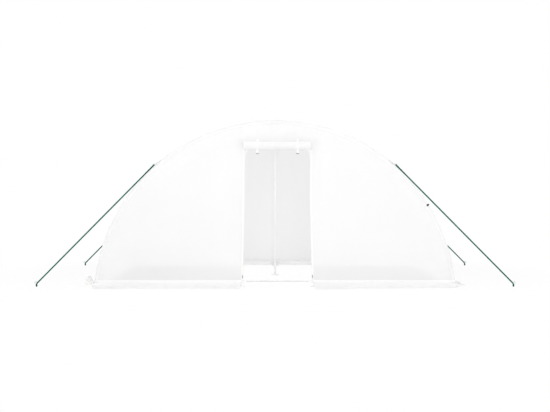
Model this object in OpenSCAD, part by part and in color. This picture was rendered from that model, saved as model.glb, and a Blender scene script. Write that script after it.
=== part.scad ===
// Polytunnel greenhouse: hooped tube frame, film cover, rolled-up door, guy ropes and pegs.
// Millimetres. X runs across the tunnel, the door end faces -Y, Z is up, the ground is Z = 0.

/* [Tunnel] */
// Width over the hoops at the ground
tunnel_w = 5000; // [4600:50:5600]
// Height over the hoops at the crown
tunnel_h = 2300; // [2250:10:2600]
// Length over the two end hoops
tunnel_l = 4000; // [3000:50:6000]

/* [Frame] */
// Hoop tube diameter
hoop_d = 32; // [29:1:38]
// Purlin tube diameter
purlin_d = 25; // [19:1:27]
// Post tube diameter
post_d = 28; // [26:1:29]
// Ground rail tube diameter
rail_d = 30; // [24:1:31]
// Door header tube diameter
header_d = 22; // [16:1:25]
// Height of the ground rail axis above the ground
rail_z = 75; // [66:1:100]
// Wall of a tube socket
socket_wall = 3; // [2:0.5:5]
// Depth of a tube in its socket
socket_depth = 60; // [40:5:90]
// Angle of the lower purlins up the arch, degrees
low_angle = 26; // [20:1:34]
// Angle of the upper purlins up the arch, degrees
high_angle = 58; // [48:1:66]
// Side of a square foot plate
foot_w = 110; // [80:5:140]
// Thickness of a foot plate
plate_t = 6; // [4:1:10]
// Corner radius of a foot plate
foot_round = 12; // [6:1:20]
// Diameter of the peg holes in a foot plate
foot_hole_d = 9; // [7:1:12]

/* [Doorway] */
// Width of the doorway at its foot
door_w = 965; // [800:5:1300]
// Width of the doorway at its head
door_head_w = 905; // [750:5:960]
// Height of the front wall over the doorway
door_over = 400; // [370:10:600]
// Distance of the doorway to the right of the middle
door_shift = 35; // [-100:5:100]

/* [Cover] */
// Thickness of the film
film_t = 3; // [2:0.5:5]
// Height of the bottom edge of the cover, where the skirt begins
film_bottom = 58; // [40:1:60]
// Width of the end skirts out from the cover
skirt_w = 350; // [220:10:500]
// Width of the side skirts out from the cover
side_skirt_w = 170; // [160:5:400]
// Distance in which the skirts slope down to the ground
skirt_fall = 130; // [100:5:145]
// Corner radius of the skirts
skirt_round = 60; // [20:5:120]

/* [Rolled door] */
// Diameter of the rolled-up door
roll_d = 115; // [80:1:140]
// Length the roll runs past the doorway at each end
roll_over = 12; // [0:1:40]
// Width of a door tie
tie_w = 28; // [20:1:50]
// Distance between the two door ties
tie_gap = 554; // [300:2:650]
// Length of tie hanging under the roll
tie_tail = 52; // [30:1:56]
// Width of a zip tape
zip_w = 26; // [20:1:40]

/* [Guy ropes] */
// Rope diameter
rope_d = 16; // [10:1:18]
// Angle of the rope tabs up the arch, degrees
guy_angle = 50.2; // [48:0.1:54]
// Angle of the rope below the slope of the arch at its tab, degrees
rope_dip = 5.6; // [4:0.1:8]
// Length of the webbing loop of a tab, from the cover to the rope in it
loop_l = 75; // [65:1:95]
// Angle of the loop above the rope, degrees
loop_rise = 16; // [14:1:22]
// Diameter of the peg rod
peg_d = 8; // [6:1:10]
// Height of the rope eye on the peg
peg_eye_z = 45; // [35:1:60]

/* [Hidden] */
// Facets of a round section and of a full arch
tube_fn = 48;
arch_fn = 360;
$fn = tube_fn;
// Clearance all round a tube in its socket
fit = 0.3;
// Metal left between the end of a socket and the tube it crosses
stop = 3;
// Gap between neighbouring film panels
seam = 0.2;
// Gap between the cover and what it lies on
lay = 0.3;
// Extra length of a cutting body past the face it opens
past = 1;

outer_r = (tunnel_w * tunnel_w / 4 + tunnel_h * tunnel_h) / (2 * tunnel_h);
arc_z = tunnel_h - outer_r;
hoop_r = outer_r - hoop_d / 2;
end_y = (tunnel_l - hoop_d) / 2;

sleeve_d = hoop_d + 2 * socket_wall;
purlin_od = purlin_d + 2 * socket_wall;
post_od = post_d + 2 * socket_wall;
rail_od = rail_d + 2 * socket_wall;
header_od = header_d + 2 * socket_wall;

// Half of the solid web between two hoop tubes in a joint, and the turns it spans
web = 10;
web_turn = web / hoop_r * 180 / PI;
sleeve_turn = (web + socket_depth) / hoop_r * 180 / PI;
clamp_turn = socket_depth / 2 / hoop_r * 180 / PI;
spill_turn = past / hoop_r * 180 / PI;

tube_stop = hoop_d / 2 + stop;
tube_reach = tube_stop + socket_depth;
post_stop = post_d / 2 + stop;
post_reach = post_stop + socket_depth;

foot_hole_in = 17;
tube_foot_z = plate_t + stop;
riser_z = rail_z + rail_od / 2 + socket_depth / 2;
foot_angle = asin((tube_foot_z - arc_z) / hoop_r);
plate_angle = asin((plate_t / 2 - arc_z) / hoop_r);
riser_angle = asin((riser_z - arc_z) / hoop_r);
rail_x = arc_x(hoop_r, rail_z);
crown_z = arc_z + hoop_r;
stops = [
    foot_angle, low_angle, high_angle, 90,
    180 - high_angle, 180 - low_angle, 180 - foot_angle
];
joint_angles = [low_angle, high_angle, 90, 180 - high_angle, 180 - low_angle];

film_in = hoop_r + sleeve_d / 2 + lay;
film_out = film_in + film_t;
wall_in = tunnel_l / 2 + socket_wall + lay;
wall_out = wall_in + film_t;
film_angle = asin((film_bottom - arc_z) / film_in);
strip_count = 8;
strip_turn = (180 - 2 * film_angle) / strip_count;
seam_turn = seam / film_in * 180 / PI;
side_x = arc_x(film_out, film_bottom);
skirt_end = side_x - film_t - seam;

door_h = tunnel_h - door_over;
door_left = door_shift - door_w / 2;
door_right = door_shift + door_w / 2;
head_left = door_shift - door_head_w / 2;
head_right = door_shift + door_head_w / 2;
post_inset = 14;
post_left = door_left - post_inset - post_d / 2;
post_right = door_right + post_inset + post_d / 2;
header_z = door_h + 90;
bracket_h = 60;
bracket_depth = 35;

roll_r = roll_d / 2;
roll_core = 14;
roll_sheet = 4;
roll_pitch = 6.5;
roll_steps = 24;
tie_t = 2.5;
tie_in = roll_r + lay;
tie_out = tie_in + tie_t;
tie_sewn = 30;
tie_lap = 0.1;
roll_y = -(wall_out + lay + tie_out);
roll_z = door_h + roll_r;
tie_foot_z = roll_z - tie_out - tie_tail;
buckle_w = 46;
buckle_t = 9;
buckle_h = 18;
buckle_slot = 10;
buckle_round = 5;
buckle_bar = 3;
buckle_window = 3.5;
window_round = 1.5;
zip_t = 2;
zip_top = door_h - 15;
zip_foot = film_bottom + 5;
slider_z = 118;
slider_w = 16;
slider_t = 5;
slider_h = 30;
slider_round = 6;
bridge_r = 6;
bridge_d = 3;
bridge_in = bridge_r - bridge_d / 2;
bridge_sink = bridge_d / 4;
pull_w = 10;
pull_t = 2.2;
pull_round = 4;
pull_drop = 16;
pull_eye_d = 5.5;
pull_rim = 2.5;
pull_front = bridge_sink + lay + pull_t;
bridge_z = slider_z + pull_drop + slider_h / 2;
pull_eye_top = bridge_z - sqrt(bridge_in * bridge_in - pull_front * pull_front) + fit;
pull_h = pull_eye_top + pull_rim - slider_z;

eye_d = rope_d - 2;
eye_in = 12;
eye_r = eye_d / 2 + eye_in;
loop_w = 20;
loop_t = 3;
loop_slack = 1.5;
bight_room = 1.9;
loop_root = 22;
loop_back = 10;
eye_lean = asin(loop_w / 2 / eye_r);
eye_sag = eye_r * (1 - cos(eye_lean));
bight_r = eye_d / 2 + loop_slack;
bight_x = loop_l + eye_sag + eye_d / 2 / cos(eye_lean) + bight_room - bight_r;
patch_w = 70;
patch_l = 90;
patch_t = 2;
patch_round = 14;
tab_x = film_out * cos(guy_angle);
tab_z = arc_z + film_out * sin(guy_angle);
rope_tilt = 90 - guy_angle + rope_dip;
loop_tilt = rope_tilt - loop_rise;
eye_x = tab_x + loop_l * cos(loop_tilt) + eye_r * cos(rope_tilt);
eye_z = tab_z - loop_l * sin(loop_tilt) - eye_r * sin(rope_tilt);
rope_fall = eye_z - peg_eye_z;
rope_len = rope_fall / sin(rope_tilt) - eye_r;
peg_eye_r = peg_d / 2 + fit + eye_d / 2;
peg_x = eye_x + rope_fall / tan(rope_tilt) + peg_eye_r;
peg_top = peg_eye_z + eye_d;
hook_r = 13;
hook_tail = 16;

toggle_angle = 32.4;
toggle_d = 27;
toggle_h = 13;
toggle_rim_t = 4;
toggle_waist_d = 16;
toggle_head_d = 19;
toggle_lip = 5;

metal = [0.93, 0.94, 0.94];
film = [0.97, 0.98, 0.98];
webbing = [0.95, 0.95, 0.94];
dark = [0.08, 0.08, 0.08];
rope_green = [0.10, 0.28, 0.20];
steel = [0.72, 0.73, 0.74];

// Points on an arch of radius r about the arch centre
function arc_x(r, z) = sqrt(r * r - (z - arc_z) * (z - arc_z));
function arc_h(r, x) = arc_z + sqrt(r * r - x * x);

// Top of a post under the front hoop
function post_top(x) = arc_h(hoop_r - hoop_d / 2, abs(x) + post_d / 2) - stop;

// Bent bar along the arch between two angles
module arc_bar(r, d, from, to, y) {
    translate([0, y, arc_z])
        rotate([90, 0, 0])
            rotate([0, 0, from])
                rotate_extrude(angle = to - from, $fn = arch_fn)
                    translate([r, 0])
                        circle(d = d, $fn = tube_fn);
}

// Film lying round the arch between two angles
module arc_sheet(r, t, from, to, y0, y1) {
    translate([0, 0, arc_z])
        rotate([90, 0, 0])
            rotate([0, 0, from])
                rotate_extrude(angle = to - from, $fn = arch_fn)
                    translate([r, -y1])
                        square([t, y1 - y0]);
}

// Flat oblong with rounded corners, about its middle
module rounded(w, l, r) {
    square([w - 2 * r, l], center = true);
    square([w, l - 2 * r], center = true);
    for (i = [-1, 1], j = [-1, 1])
        translate([i * (w / 2 - r), j * (l / 2 - r)])
            circle(r = r);
}

// Straight bars along the three axes
module bar_x(d, x0, x1, y, z) {
    translate([x0, y, z])
        rotate([0, 90, 0])
            cylinder(d = d, h = x1 - x0);
}

module bar_y(d, x, y0, y1, z) {
    translate([x, y0, z])
        rotate([-90, 0, 0])
            cylinder(d = d, h = y1 - y0);
}

module bar_z(d, x, y, z0, z1) {
    translate([x, y, z0])
        cylinder(d = d, h = z1 - z0);
}

// Six bent tubes of one hoop
module hoop(y) {
    for (i = [0:5])
        arc_bar(hoop_r, hoop_d, stops[i] + (i > 0 ? web_turn : 0), stops[i + 1] - (i < 5 ? web_turn : 0), y);
}

// Two purlin tubes in line, one for each bay
module purlin(a) {
    x = hoop_r * cos(a);
    z = arc_z + hoop_r * sin(a);
    bar_y(purlin_d, x, -end_y + tube_stop, -tube_stop, z);
    bar_y(purlin_d, x, tube_stop, end_y - tube_stop, z);
}

// Socket joint of two hoop tubes and the purlins, with a post socket below where one stands
module joint(a, y, fore, aft, down) {
    x = hoop_r * cos(a);
    z = arc_z + hoop_r * sin(a);
    difference() {
        union() {
            arc_bar(hoop_r, sleeve_d, a - sleeve_turn, a + sleeve_turn, y);
            bar_y(purlin_od, x, y - (fore ? tube_reach : 0), y + (aft ? tube_reach : 0), z);
            if (down)
                bar_z(post_od, x, y, z - tube_reach, z);
        }
        arc_bar(hoop_r, hoop_d + 2 * fit, a + web_turn, a + sleeve_turn + spill_turn, y);
        arc_bar(hoop_r, hoop_d + 2 * fit, a - sleeve_turn - spill_turn, a - web_turn, y);
        if (fore)
            bar_y(purlin_d + 2 * fit, x, y - tube_reach - past, y - tube_stop, z);
        if (aft)
            bar_y(purlin_d + 2 * fit, x, y + tube_stop, y + tube_reach + past, z);
        if (down)
            bar_z(post_d + 2 * fit, x, y, z - tube_reach - past, z - tube_stop);
    }
}

module hoop_joints(y, fore, aft, post) {
    for (a = joint_angles)
        joint(a, y, fore, aft, post && a == 90);
}

// Square plate on the ground, with a peg hole in each corner
module foot_plate(x, y) {
    hole_off = foot_w / 2 - foot_hole_in;
    translate([x, y, 0])
        linear_extrude(plate_t)
            difference() {
                rounded(foot_w, foot_w, foot_round);
                for (i = [-1, 1], j = [-1, 1])
                    translate([i * hole_off, j * hole_off])
                        circle(d = foot_hole_d);
            }
}

// Foot of a hoop on the right, with sockets for the ground rails
module hoop_foot(y, fore, aft, inward) {
    difference() {
        union() {
            foot_plate(arc_x(hoop_r, plate_t), y);
            arc_bar(hoop_r, sleeve_d, plate_angle, riser_angle, y);
            if (fore)
                bar_y(rail_od, rail_x, y - tube_reach, y, rail_z);
            if (aft)
                bar_y(rail_od, rail_x, y, y + tube_reach, rail_z);
            if (inward)
                bar_x(rail_od, rail_x - tube_reach, rail_x, y, rail_z);
        }
        arc_bar(hoop_r, hoop_d + 2 * fit, foot_angle, riser_angle + spill_turn, y);
        if (fore)
            bar_y(rail_d + 2 * fit, rail_x, y - tube_reach - past, y - tube_stop, rail_z);
        if (aft)
            bar_y(rail_d + 2 * fit, rail_x, y + tube_stop, y + tube_reach + past, rail_z);
        if (inward)
            bar_x(rail_d + 2 * fit, rail_x - tube_reach - past, rail_x - tube_stop, y, rail_z);
    }
}

// Foot of a post, with sockets for the rail at both sides where the rail meets it
module post_foot(x, y, railed) {
    difference() {
        union() {
            foot_plate(x, y);
            bar_z(post_od, x, y, plate_t / 2, riser_z);
            if (railed)
                bar_x(rail_od, x - post_reach, x + post_reach, y, rail_z);
        }
        bar_z(post_d + 2 * fit, x, y, tube_foot_z, riser_z + past);
        if (railed) {
            bar_x(rail_d + 2 * fit, x - post_reach - past, x - post_stop, y, rail_z);
            bar_x(rail_d + 2 * fit, x + post_stop, x + post_reach + past, y, rail_z);
        }
    }
}

// Clamp that holds a door post under the front hoop
module post_clamp(x) {
    a = acos(x / hoop_r);
    foot_z = post_top(x) - socket_depth;
    difference() {
        union() {
            arc_bar(hoop_r, sleeve_d, a - clamp_turn, a + clamp_turn, -end_y);
            bar_z(post_od, x, -end_y, foot_z, arc_h(hoop_r, x));
        }
        arc_bar(hoop_r, hoop_d + 2 * fit, a - 2 * clamp_turn, a + 2 * clamp_turn, -end_y);
        bar_z(post_d + 2 * fit, x, -end_y, foot_z - past, post_top(x));
    }
}

// Bracket that holds one end of the header on a door post
module header_bracket(x, way) {
    near = x + way * post_stop;
    far = x + way * (post_stop + bracket_depth);
    difference() {
        union() {
            bar_z(post_od, x, -end_y, header_z - bracket_h / 2, header_z + bracket_h / 2);
            bar_x(header_od, min(x, far), max(x, far), -end_y, header_z);
        }
        bar_z(post_d + 2 * fit, x, -end_y, header_z - bracket_h, header_z + bracket_h);
        bar_x(header_d + 2 * fit, min(near, far + way * past), max(near, far + way * past), -end_y, header_z);
    }
}

module front_hoop() {
    color(metal) hoop(-end_y);
}

module middle_hoop() {
    color(metal) hoop(0);
}

module rear_hoop() {
    color(metal) hoop(end_y);
}

module ridge_purlin() {
    color(metal) purlin(90);
}

module left_purlins() {
    color(metal) {
        purlin(180 - low_angle);
        purlin(180 - high_angle);
    }
}

module right_purlins() {
    color(metal) {
        purlin(low_angle);
        purlin(high_angle);
    }
}

module front_hoop_joints() {
    color(metal) hoop_joints(-end_y, false, true, false);
}

module middle_hoop_joints() {
    color(metal) hoop_joints(0, true, true, true);
}

module rear_hoop_joints() {
    color(metal) hoop_joints(end_y, true, false, true);
}

module hoop_feet() {
    color(metal) {
        for (side = [0, 1])
            mirror([side, 0, 0]) {
                hoop_foot(-end_y, false, true, true);
                hoop_foot(0, true, true, false);
                hoop_foot(end_y, true, false, true);
            }
    }
}

module side_rail(x) {
    bar_y(rail_d, x, -end_y + tube_stop, -tube_stop, rail_z);
    bar_y(rail_d, x, tube_stop, end_y - tube_stop, rail_z);
}

module left_ground_rail() {
    color(metal) side_rail(-rail_x);
}

module right_ground_rail() {
    color(metal) side_rail(rail_x);
}

// Rail of the door end, with the threshold bar between the door posts
module front_ground_rail() {
    color(metal) {
        bar_x(rail_d, -rail_x + tube_stop, post_left - post_stop, -end_y, rail_z);
        bar_x(rail_d, post_left + post_stop, post_right - post_stop, -end_y, rail_z);
        bar_x(rail_d, post_right + post_stop, rail_x - tube_stop, -end_y, rail_z);
    }
}

module rear_ground_rail() {
    color(metal) {
        bar_x(rail_d, -rail_x + tube_stop, -post_stop, end_y, rail_z);
        bar_x(rail_d, post_stop, rail_x - tube_stop, end_y, rail_z);
    }
}

module left_door_post() {
    color(metal) bar_z(post_d, post_left, -end_y, tube_foot_z, post_top(post_left));
}

module right_door_post() {
    color(metal) bar_z(post_d, post_right, -end_y, tube_foot_z, post_top(post_right));
}

module door_header() {
    color(metal) bar_x(header_d, post_left + post_stop, post_right - post_stop, -end_y, header_z);
}

module door_frame_fittings() {
    color(metal) {
        post_foot(post_left, -end_y, true);
        post_foot(post_right, -end_y, true);
        post_clamp(post_left);
        post_clamp(post_right);
        header_bracket(post_left, 1);
        header_bracket(post_right, -1);
    }
}

module centre_post() {
    color(metal) bar_z(post_d, 0, 0, tube_foot_z, crown_z - tube_stop);
}

module rear_post() {
    color(metal) bar_z(post_d, 0, end_y, tube_foot_z, crown_z - tube_stop);
}

module post_feet() {
    color(metal) {
        post_foot(0, 0, false);
        post_foot(0, end_y, true);
    }
}

// One strip of the roof film, counted from the right-hand edge
module roof_strip(i) {
    from = film_angle + i * strip_turn;
    color(film)
        arc_sheet(film_in, film_t, from, from + strip_turn - seam_turn, -wall_out, wall_out);
}

module roof_right_1() {
    roof_strip(0);
}

module roof_right_2() {
    roof_strip(1);
}

module roof_right_3() {
    roof_strip(2);
}

module roof_right_4() {
    roof_strip(3);
}

module roof_left_4() {
    roof_strip(4);
}

module roof_left_3() {
    roof_strip(5);
}

module roof_left_2() {
    roof_strip(6);
}

module roof_left_1() {
    roof_strip(7);
}

// Outline of an end wall, upright in the plane of the arch
module wall_outline() {
    difference() {
        translate([0, arc_z])
            circle(r = film_in - lay, $fn = arch_fn);
        translate([-tunnel_w, film_bottom - 2 * tunnel_h])
            square([2 * tunnel_w, 2 * tunnel_h]);
    }
}

module upright(y, t) {
    translate([0, y + t, 0])
        rotate([90, 0, 0])
            linear_extrude(t)
                children();
}

module front_wall_left() {
    color(film)
        upright(-wall_out, film_t)
            intersection() {
                wall_outline();
                polygon([
                    [-tunnel_w, film_bottom - past], [door_left, film_bottom - past],
                    [head_left, door_h], [head_left, tunnel_h + film_bottom],
                    [-tunnel_w, tunnel_h + film_bottom]
                ]);
            }
}

module front_wall_right() {
    color(film)
        upright(-wall_out, film_t)
            intersection() {
                wall_outline();
                polygon([
                    [tunnel_w, film_bottom - past], [door_right, film_bottom - past],
                    [head_right, door_h], [head_right, tunnel_h + film_bottom],
                    [tunnel_w, tunnel_h + film_bottom]
                ]);
            }
}

module front_wall_head() {
    color(film)
        upright(-wall_out, film_t)
            intersection() {
                wall_outline();
                translate([head_left + seam, door_h])
                    square([door_head_w - 2 * seam, tunnel_h]);
            }
}

module rear_wall() {
    color(film)
        upright(wall_in, film_t)
            wall_outline();
}

// Section of a skirt: down from the cover, then flat on the ground
module skirt_section(w) {
    top = film_bottom - seam;
    drop = film_t * sqrt(skirt_fall * skirt_fall + top * top) / skirt_fall;
    polygon([
        [-film_t, top], [0, top], [skirt_fall, film_t], [w, film_t],
        [w, 0], [skirt_fall * (top - drop) / top, 0], [0, top - drop], [-film_t, top - drop]
    ]);
}

// Skirt along X in front of the line Y = 0, cut to its length and width with round corners
module skirt(l, w) {
    intersection() {
        translate([-l / 2 - past, 0, 0])
            rotate([90, 0, 90])
                linear_extrude(l + 2 * past)
                    skirt_section(w + past);
        translate([0, 0, -past])
            linear_extrude(film_bottom + past)
                rounded(l, 2 * w, skirt_round);
    }
}

// Skirt of the right side, from end to end
module side_skirt() {
    translate([side_x, 0, 0])
        rotate([0, 0, -90])
            skirt(2 * wall_out, side_skirt_w);
}

// Skirt of an end, at the rear, between two places across the tunnel
module end_skirt(x0, x1) {
    translate([(x0 + x1) / 2, wall_out, 0])
        skirt(x1 - x0, skirt_w);
}

module left_skirt() {
    color(film) mirror([1, 0, 0]) side_skirt();
}

module right_skirt() {
    color(film) side_skirt();
}

module front_skirt() {
    color(film)
        mirror([0, 1, 0]) {
            end_skirt(-skirt_end, door_left - zip_w);
            end_skirt(door_right + zip_w, skirt_end);
        }
}

module rear_skirt() {
    color(film) end_skirt(-skirt_end, skirt_end);
}

// Rolled-up door: one film wound on itself
function wound(inset) = [
    for (i = [0:floor((roll_r - roll_core) / roll_pitch * roll_steps)])
        let (a = -90 - i * 360 / roll_steps, r = roll_r - roll_pitch * i / roll_steps - inset)
            [r * cos(a), r * sin(a)]
];

function backward(list) = [for (i = [len(list) - 1:-1:0]) list[i]];

module across(x0, x1) {
    translate([x0, 0, 0])
        rotate([90, 0, 90])
            linear_extrude(x1 - x0)
                children();
}

module door_roll() {
    color(film)
        across(head_left - roll_over, head_right + roll_over)
            translate([roll_y, roll_z])
                polygon(concat(wound(0), backward(wound(roll_sheet))));
}

// Tie: sewn to the wall above the roll, looped round it, its tail hanging below
module door_tie(x) {
    across(x - tie_w / 2, x + tie_w / 2) {
        difference() {
            translate([roll_y, roll_z])
                circle(r = tie_out);
            translate([roll_y, roll_z])
                circle(r = tie_in);
        }
        translate([roll_y + tie_out - tie_t - tie_lap, roll_z])
            square([tie_t, tie_out + tie_sewn]);
        translate([roll_y - tie_t / 2, tie_foot_z])
            square([tie_t, tie_tail + tie_t / 2]);
    }
}

module door_ties() {
    color(webbing) {
        door_tie(door_shift - tie_gap / 2);
        door_tie(door_shift + tie_gap / 2);
    }
}

// Buckle: a moulded frame with a pocket for the end of the tie, and a bar below its window
module tie_buckle(x) {
    middle_z = tie_foot_z + buckle_slot - buckle_h / 2;
    difference() {
        translate([x, 0, middle_z])
            upright(roll_y - buckle_t / 2, buckle_t)
                difference() {
                    rounded(buckle_w, buckle_h, buckle_round);
                    translate([0, buckle_bar + buckle_window / 2 - buckle_h / 2])
                        rounded(tie_w, buckle_window, window_round);
                }
        translate([x - tie_w / 2 - fit, roll_y - tie_t / 2 - fit, tie_foot_z])
            cube([tie_w + 2 * fit, tie_t + 2 * fit, buckle_h]);
    }
}

module door_tie_buckles() {
    color(dark) {
        tie_buckle(door_shift - tie_gap / 2);
        tie_buckle(door_shift + tie_gap / 2);
    }
}

// Edge of the doorway on the right at a height, measured from the middle of the doorway
function door_edge(z) = (door_w + (door_head_w - door_w) * (z - film_bottom) / (door_h - film_bottom)) / 2;

module zip_tape(way) {
    foot_x = door_edge(zip_foot);
    head_x = door_edge(zip_top);
    upright(-wall_out - seam - zip_t, zip_t)
        translate([door_shift, 0])
            polygon([
                [way * foot_x, zip_foot], [way * (foot_x + zip_w), zip_foot],
                [way * (head_x + zip_w), zip_top], [way * head_x, zip_top]
            ]);
}

module door_zips() {
    color(webbing) {
        zip_tape(-1);
        zip_tape(1);
    }
}

// Slider: a body on the tape with a round bridge, and a flat pull that hangs from the bridge by its eye
module zip_slider(way) {
    y = -wall_out - 2 * seam - zip_t - slider_t;
    translate([door_shift + way * (door_edge(slider_z) + zip_w / 2), 0, 0]) {
        translate([0, 0, bridge_z])
            upright(y, slider_t)
                rounded(slider_w, slider_h, slider_round);
        translate([0, y + bridge_sink, bridge_z])
            rotate([0, 90, 0])
                rotate([0, 0, 180])
                    rotate_extrude(angle = 180)
                        translate([bridge_r, 0])
                            circle(d = bridge_d);
        translate([0, 0, slider_z + pull_h / 2])
            upright(y - lay - pull_t, pull_t)
                difference() {
                    rounded(pull_w, pull_h, pull_round);
                    translate([0, pull_h / 2 - pull_rim - pull_eye_d / 2])
                        circle(d = pull_eye_d);
                }
    }
}

module zip_sliders() {
    color(dark) {
        zip_slider(-1);
        zip_slider(1);
    }
}

// Rope on the right: a flat eye in the loop of the tab, the taut length, an eye round the peg
module guy_rope(y) {
    translate([eye_x, y, eye_z])
        rotate([0, rope_tilt, 0]) {
            rotate_extrude()
                translate([eye_r, 0])
                    circle(d = eye_d);
            bar_x(rope_d, eye_r, eye_r + rope_len, 0, 0);
        }
    translate([peg_x, y, peg_eye_z])
        rotate_extrude()
            translate([peg_eye_r, 0])
                circle(d = eye_d);
}

module guy_pair(y) {
    for (side = [0, 1])
        mirror([side, 0, 0])
            guy_rope(y);
}

module front_guy_ropes() {
    color(rope_green) guy_pair(-end_y);
}

module rear_guy_ropes() {
    color(rope_green) guy_pair(end_y);
}

// Outline of a tab's loop: flat at its root, then widening to the bight round the rope
module loop_outline(from, root_half, bight_half) {
    polygon([
        [from, -root_half], [loop_root, -root_half], [bight_x, seam - bight_half],
        [bight_x, bight_half - seam], [loop_root, root_half], [from, root_half]
    ]);
    translate([bight_x, 0])
        circle(r = bight_half);
}

// Tab on the right: a round-cornered patch on the cover and the webbing loop that is sewn to it
module rope_tab(y) {
    patch_turn = patch_l / film_out * 180 / PI;
    intersection() {
        arc_sheet(
            film_out + seam, patch_t, guy_angle - patch_turn, guy_angle + patch_turn, y - patch_w, y + patch_w
        );
        translate([0, y, arc_z])
            rotate([0, 90 - guy_angle, 0])
                linear_extrude(film_out + 2 * patch_t)
                    rounded(patch_l, patch_w, patch_round);
    }
    difference() {
        translate([tab_x, y, tab_z])
            rotate([0, loop_tilt, 0])
                upright(-loop_w / 2, loop_w)
                    difference() {
                        loop_outline(-loop_back, loop_t, bight_r + loop_t);
                        loop_outline(loop_root - past, seam, bight_r);
                    }
        translate([0, y + loop_w, arc_z])
            rotate([90, 0, 0])
                cylinder(r = film_out + seam, h = 2 * loop_w, $fn = arch_fn);
    }
}

module rope_tabs() {
    color(webbing)
        for (side = [0, 1])
            mirror([side, 0, 0]) {
                rope_tab(-end_y);
                rope_tab(end_y);
            }
}

// Peg on the right, from the ground up, with its hook turned outward
module ground_peg(y) {
    bar_z(peg_d, peg_x, y, 0, peg_top);
    translate([peg_x + hook_r, y, peg_top])
        rotate([90, 0, 0])
            rotate_extrude(angle = 180)
                translate([hook_r, 0])
                    circle(d = peg_d);
    bar_z(peg_d, peg_x + 2 * hook_r, y, peg_top - hook_tail, peg_top);
}

module ground_pegs() {
    color(steel)
        for (side = [0, 1])
            mirror([side, 0, 0]) {
                ground_peg(-end_y);
                ground_peg(end_y);
            }
}

// Half section of the toggle: a round-edged flange, a waist and a head with a round lip
module toggle_section() {
    square([(toggle_d - toggle_rim_t) / 2, toggle_rim_t]);
    translate([(toggle_d - toggle_rim_t) / 2, toggle_rim_t / 2])
        intersection() {
            circle(d = toggle_rim_t);
            translate([0, -toggle_rim_t])
                square(2 * toggle_rim_t);
        }
    square([toggle_waist_d / 2, toggle_h]);
    translate([(toggle_head_d - toggle_lip) / 2, toggle_h - toggle_lip / 2])
        circle(d = toggle_lip);
}

module cover_toggle() {
    color(dark)
        translate([film_out * cos(toggle_angle), -end_y, arc_z + film_out * sin(toggle_angle)])
            rotate([0, 90 - toggle_angle, 0])
                translate([0, 0, lay])
                    rotate_extrude()
                        toggle_section();
}

front_hoop();
middle_hoop();
rear_hoop();
ridge_purlin();
left_purlins();
right_purlins();
front_hoop_joints();
middle_hoop_joints();
rear_hoop_joints();
hoop_feet();
left_ground_rail();
right_ground_rail();
front_ground_rail();
rear_ground_rail();
left_door_post();
right_door_post();
door_header();
door_frame_fittings();
centre_post();
rear_post();
post_feet();
roof_right_1();
roof_right_2();
roof_right_3();
roof_right_4();
roof_left_4();
roof_left_3();
roof_left_2();
roof_left_1();
front_wall_left();
front_wall_right();
front_wall_head();
rear_wall();
left_skirt();
right_skirt();
front_skirt();
rear_skirt();
door_roll();
door_ties();
door_tie_buckles();
door_zips();
zip_sliders();
front_guy_ropes();
rear_guy_ropes();
rope_tabs();
ground_pegs();
cover_toggle();
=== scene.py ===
"""Looks of a polytunnel greenhouse: hooped tube frame, film cover, rolled-up door, guy ropes and pegs.
Metres. X runs across the tunnel, the door end faces -Y, Z is up, the ground is Z = 0."""
import math
from functools import partialmethod

import bmesh
import bpy
import numpy as np
from mathutils import Matrix, Vector


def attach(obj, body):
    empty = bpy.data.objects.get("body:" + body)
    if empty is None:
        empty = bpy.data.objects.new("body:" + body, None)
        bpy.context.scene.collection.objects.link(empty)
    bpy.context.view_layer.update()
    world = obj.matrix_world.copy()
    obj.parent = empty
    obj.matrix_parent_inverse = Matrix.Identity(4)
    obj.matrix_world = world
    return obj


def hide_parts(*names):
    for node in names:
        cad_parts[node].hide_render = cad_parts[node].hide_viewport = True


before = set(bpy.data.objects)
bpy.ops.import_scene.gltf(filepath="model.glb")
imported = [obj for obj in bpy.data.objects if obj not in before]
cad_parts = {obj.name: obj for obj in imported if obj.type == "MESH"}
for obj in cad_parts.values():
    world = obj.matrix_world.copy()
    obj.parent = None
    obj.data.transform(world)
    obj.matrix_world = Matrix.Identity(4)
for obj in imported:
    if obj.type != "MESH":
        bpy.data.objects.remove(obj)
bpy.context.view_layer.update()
scene = bpy.context.scene

# Camera: eye height of a standing person, in line with the middle of the tunnel, facing its door end.
# The long lens keeps the arch close to its true outline.
camera_spot, camera_dip, lens, sensor_w = (0.0, -17.41, 1.44), 1.189, 72.85, 36.0
camera_data = bpy.data.cameras.new("door_end_camera")
camera_data.sensor_width = sensor_w
camera_data.lens = lens


def add_object(name, data):
    """Puts new data in the scene."""
    made = bpy.data.objects.new(name, data)
    scene.collection.objects.link(made)
    return made


camera = add_object("door_end_camera", camera_data)
camera.location = camera_spot
camera.rotation_euler = (math.radians(90 - camera_dip), 0.0, 0.0)
scene.camera = camera

# Hoops, purlins, posts and ground rails: steel tube, bent or sawn to length and white powder-coated.
# The coat has a fine orange-peel skin, dull scuffs from handling and dust from the ground on its foot.
tunnel_w, tunnel_h, tunnel_l = 5.0, 2.3, 4.0
hoop_d, rail_z = 0.032, 0.075
outer_r = (tunnel_w ** 2 / 4 + tunnel_h ** 2) / (2 * tunnel_h)
arc_z = tunnel_h - outer_r
hoop_r = outer_r - hoop_d / 2
end_y = (tunnel_l - hoop_d) / 2
hoop_rows = (-end_y, 0.0, end_y)
purlin_turns = (26.0, 58.0, 90.0, 122.0, 154.0)


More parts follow.
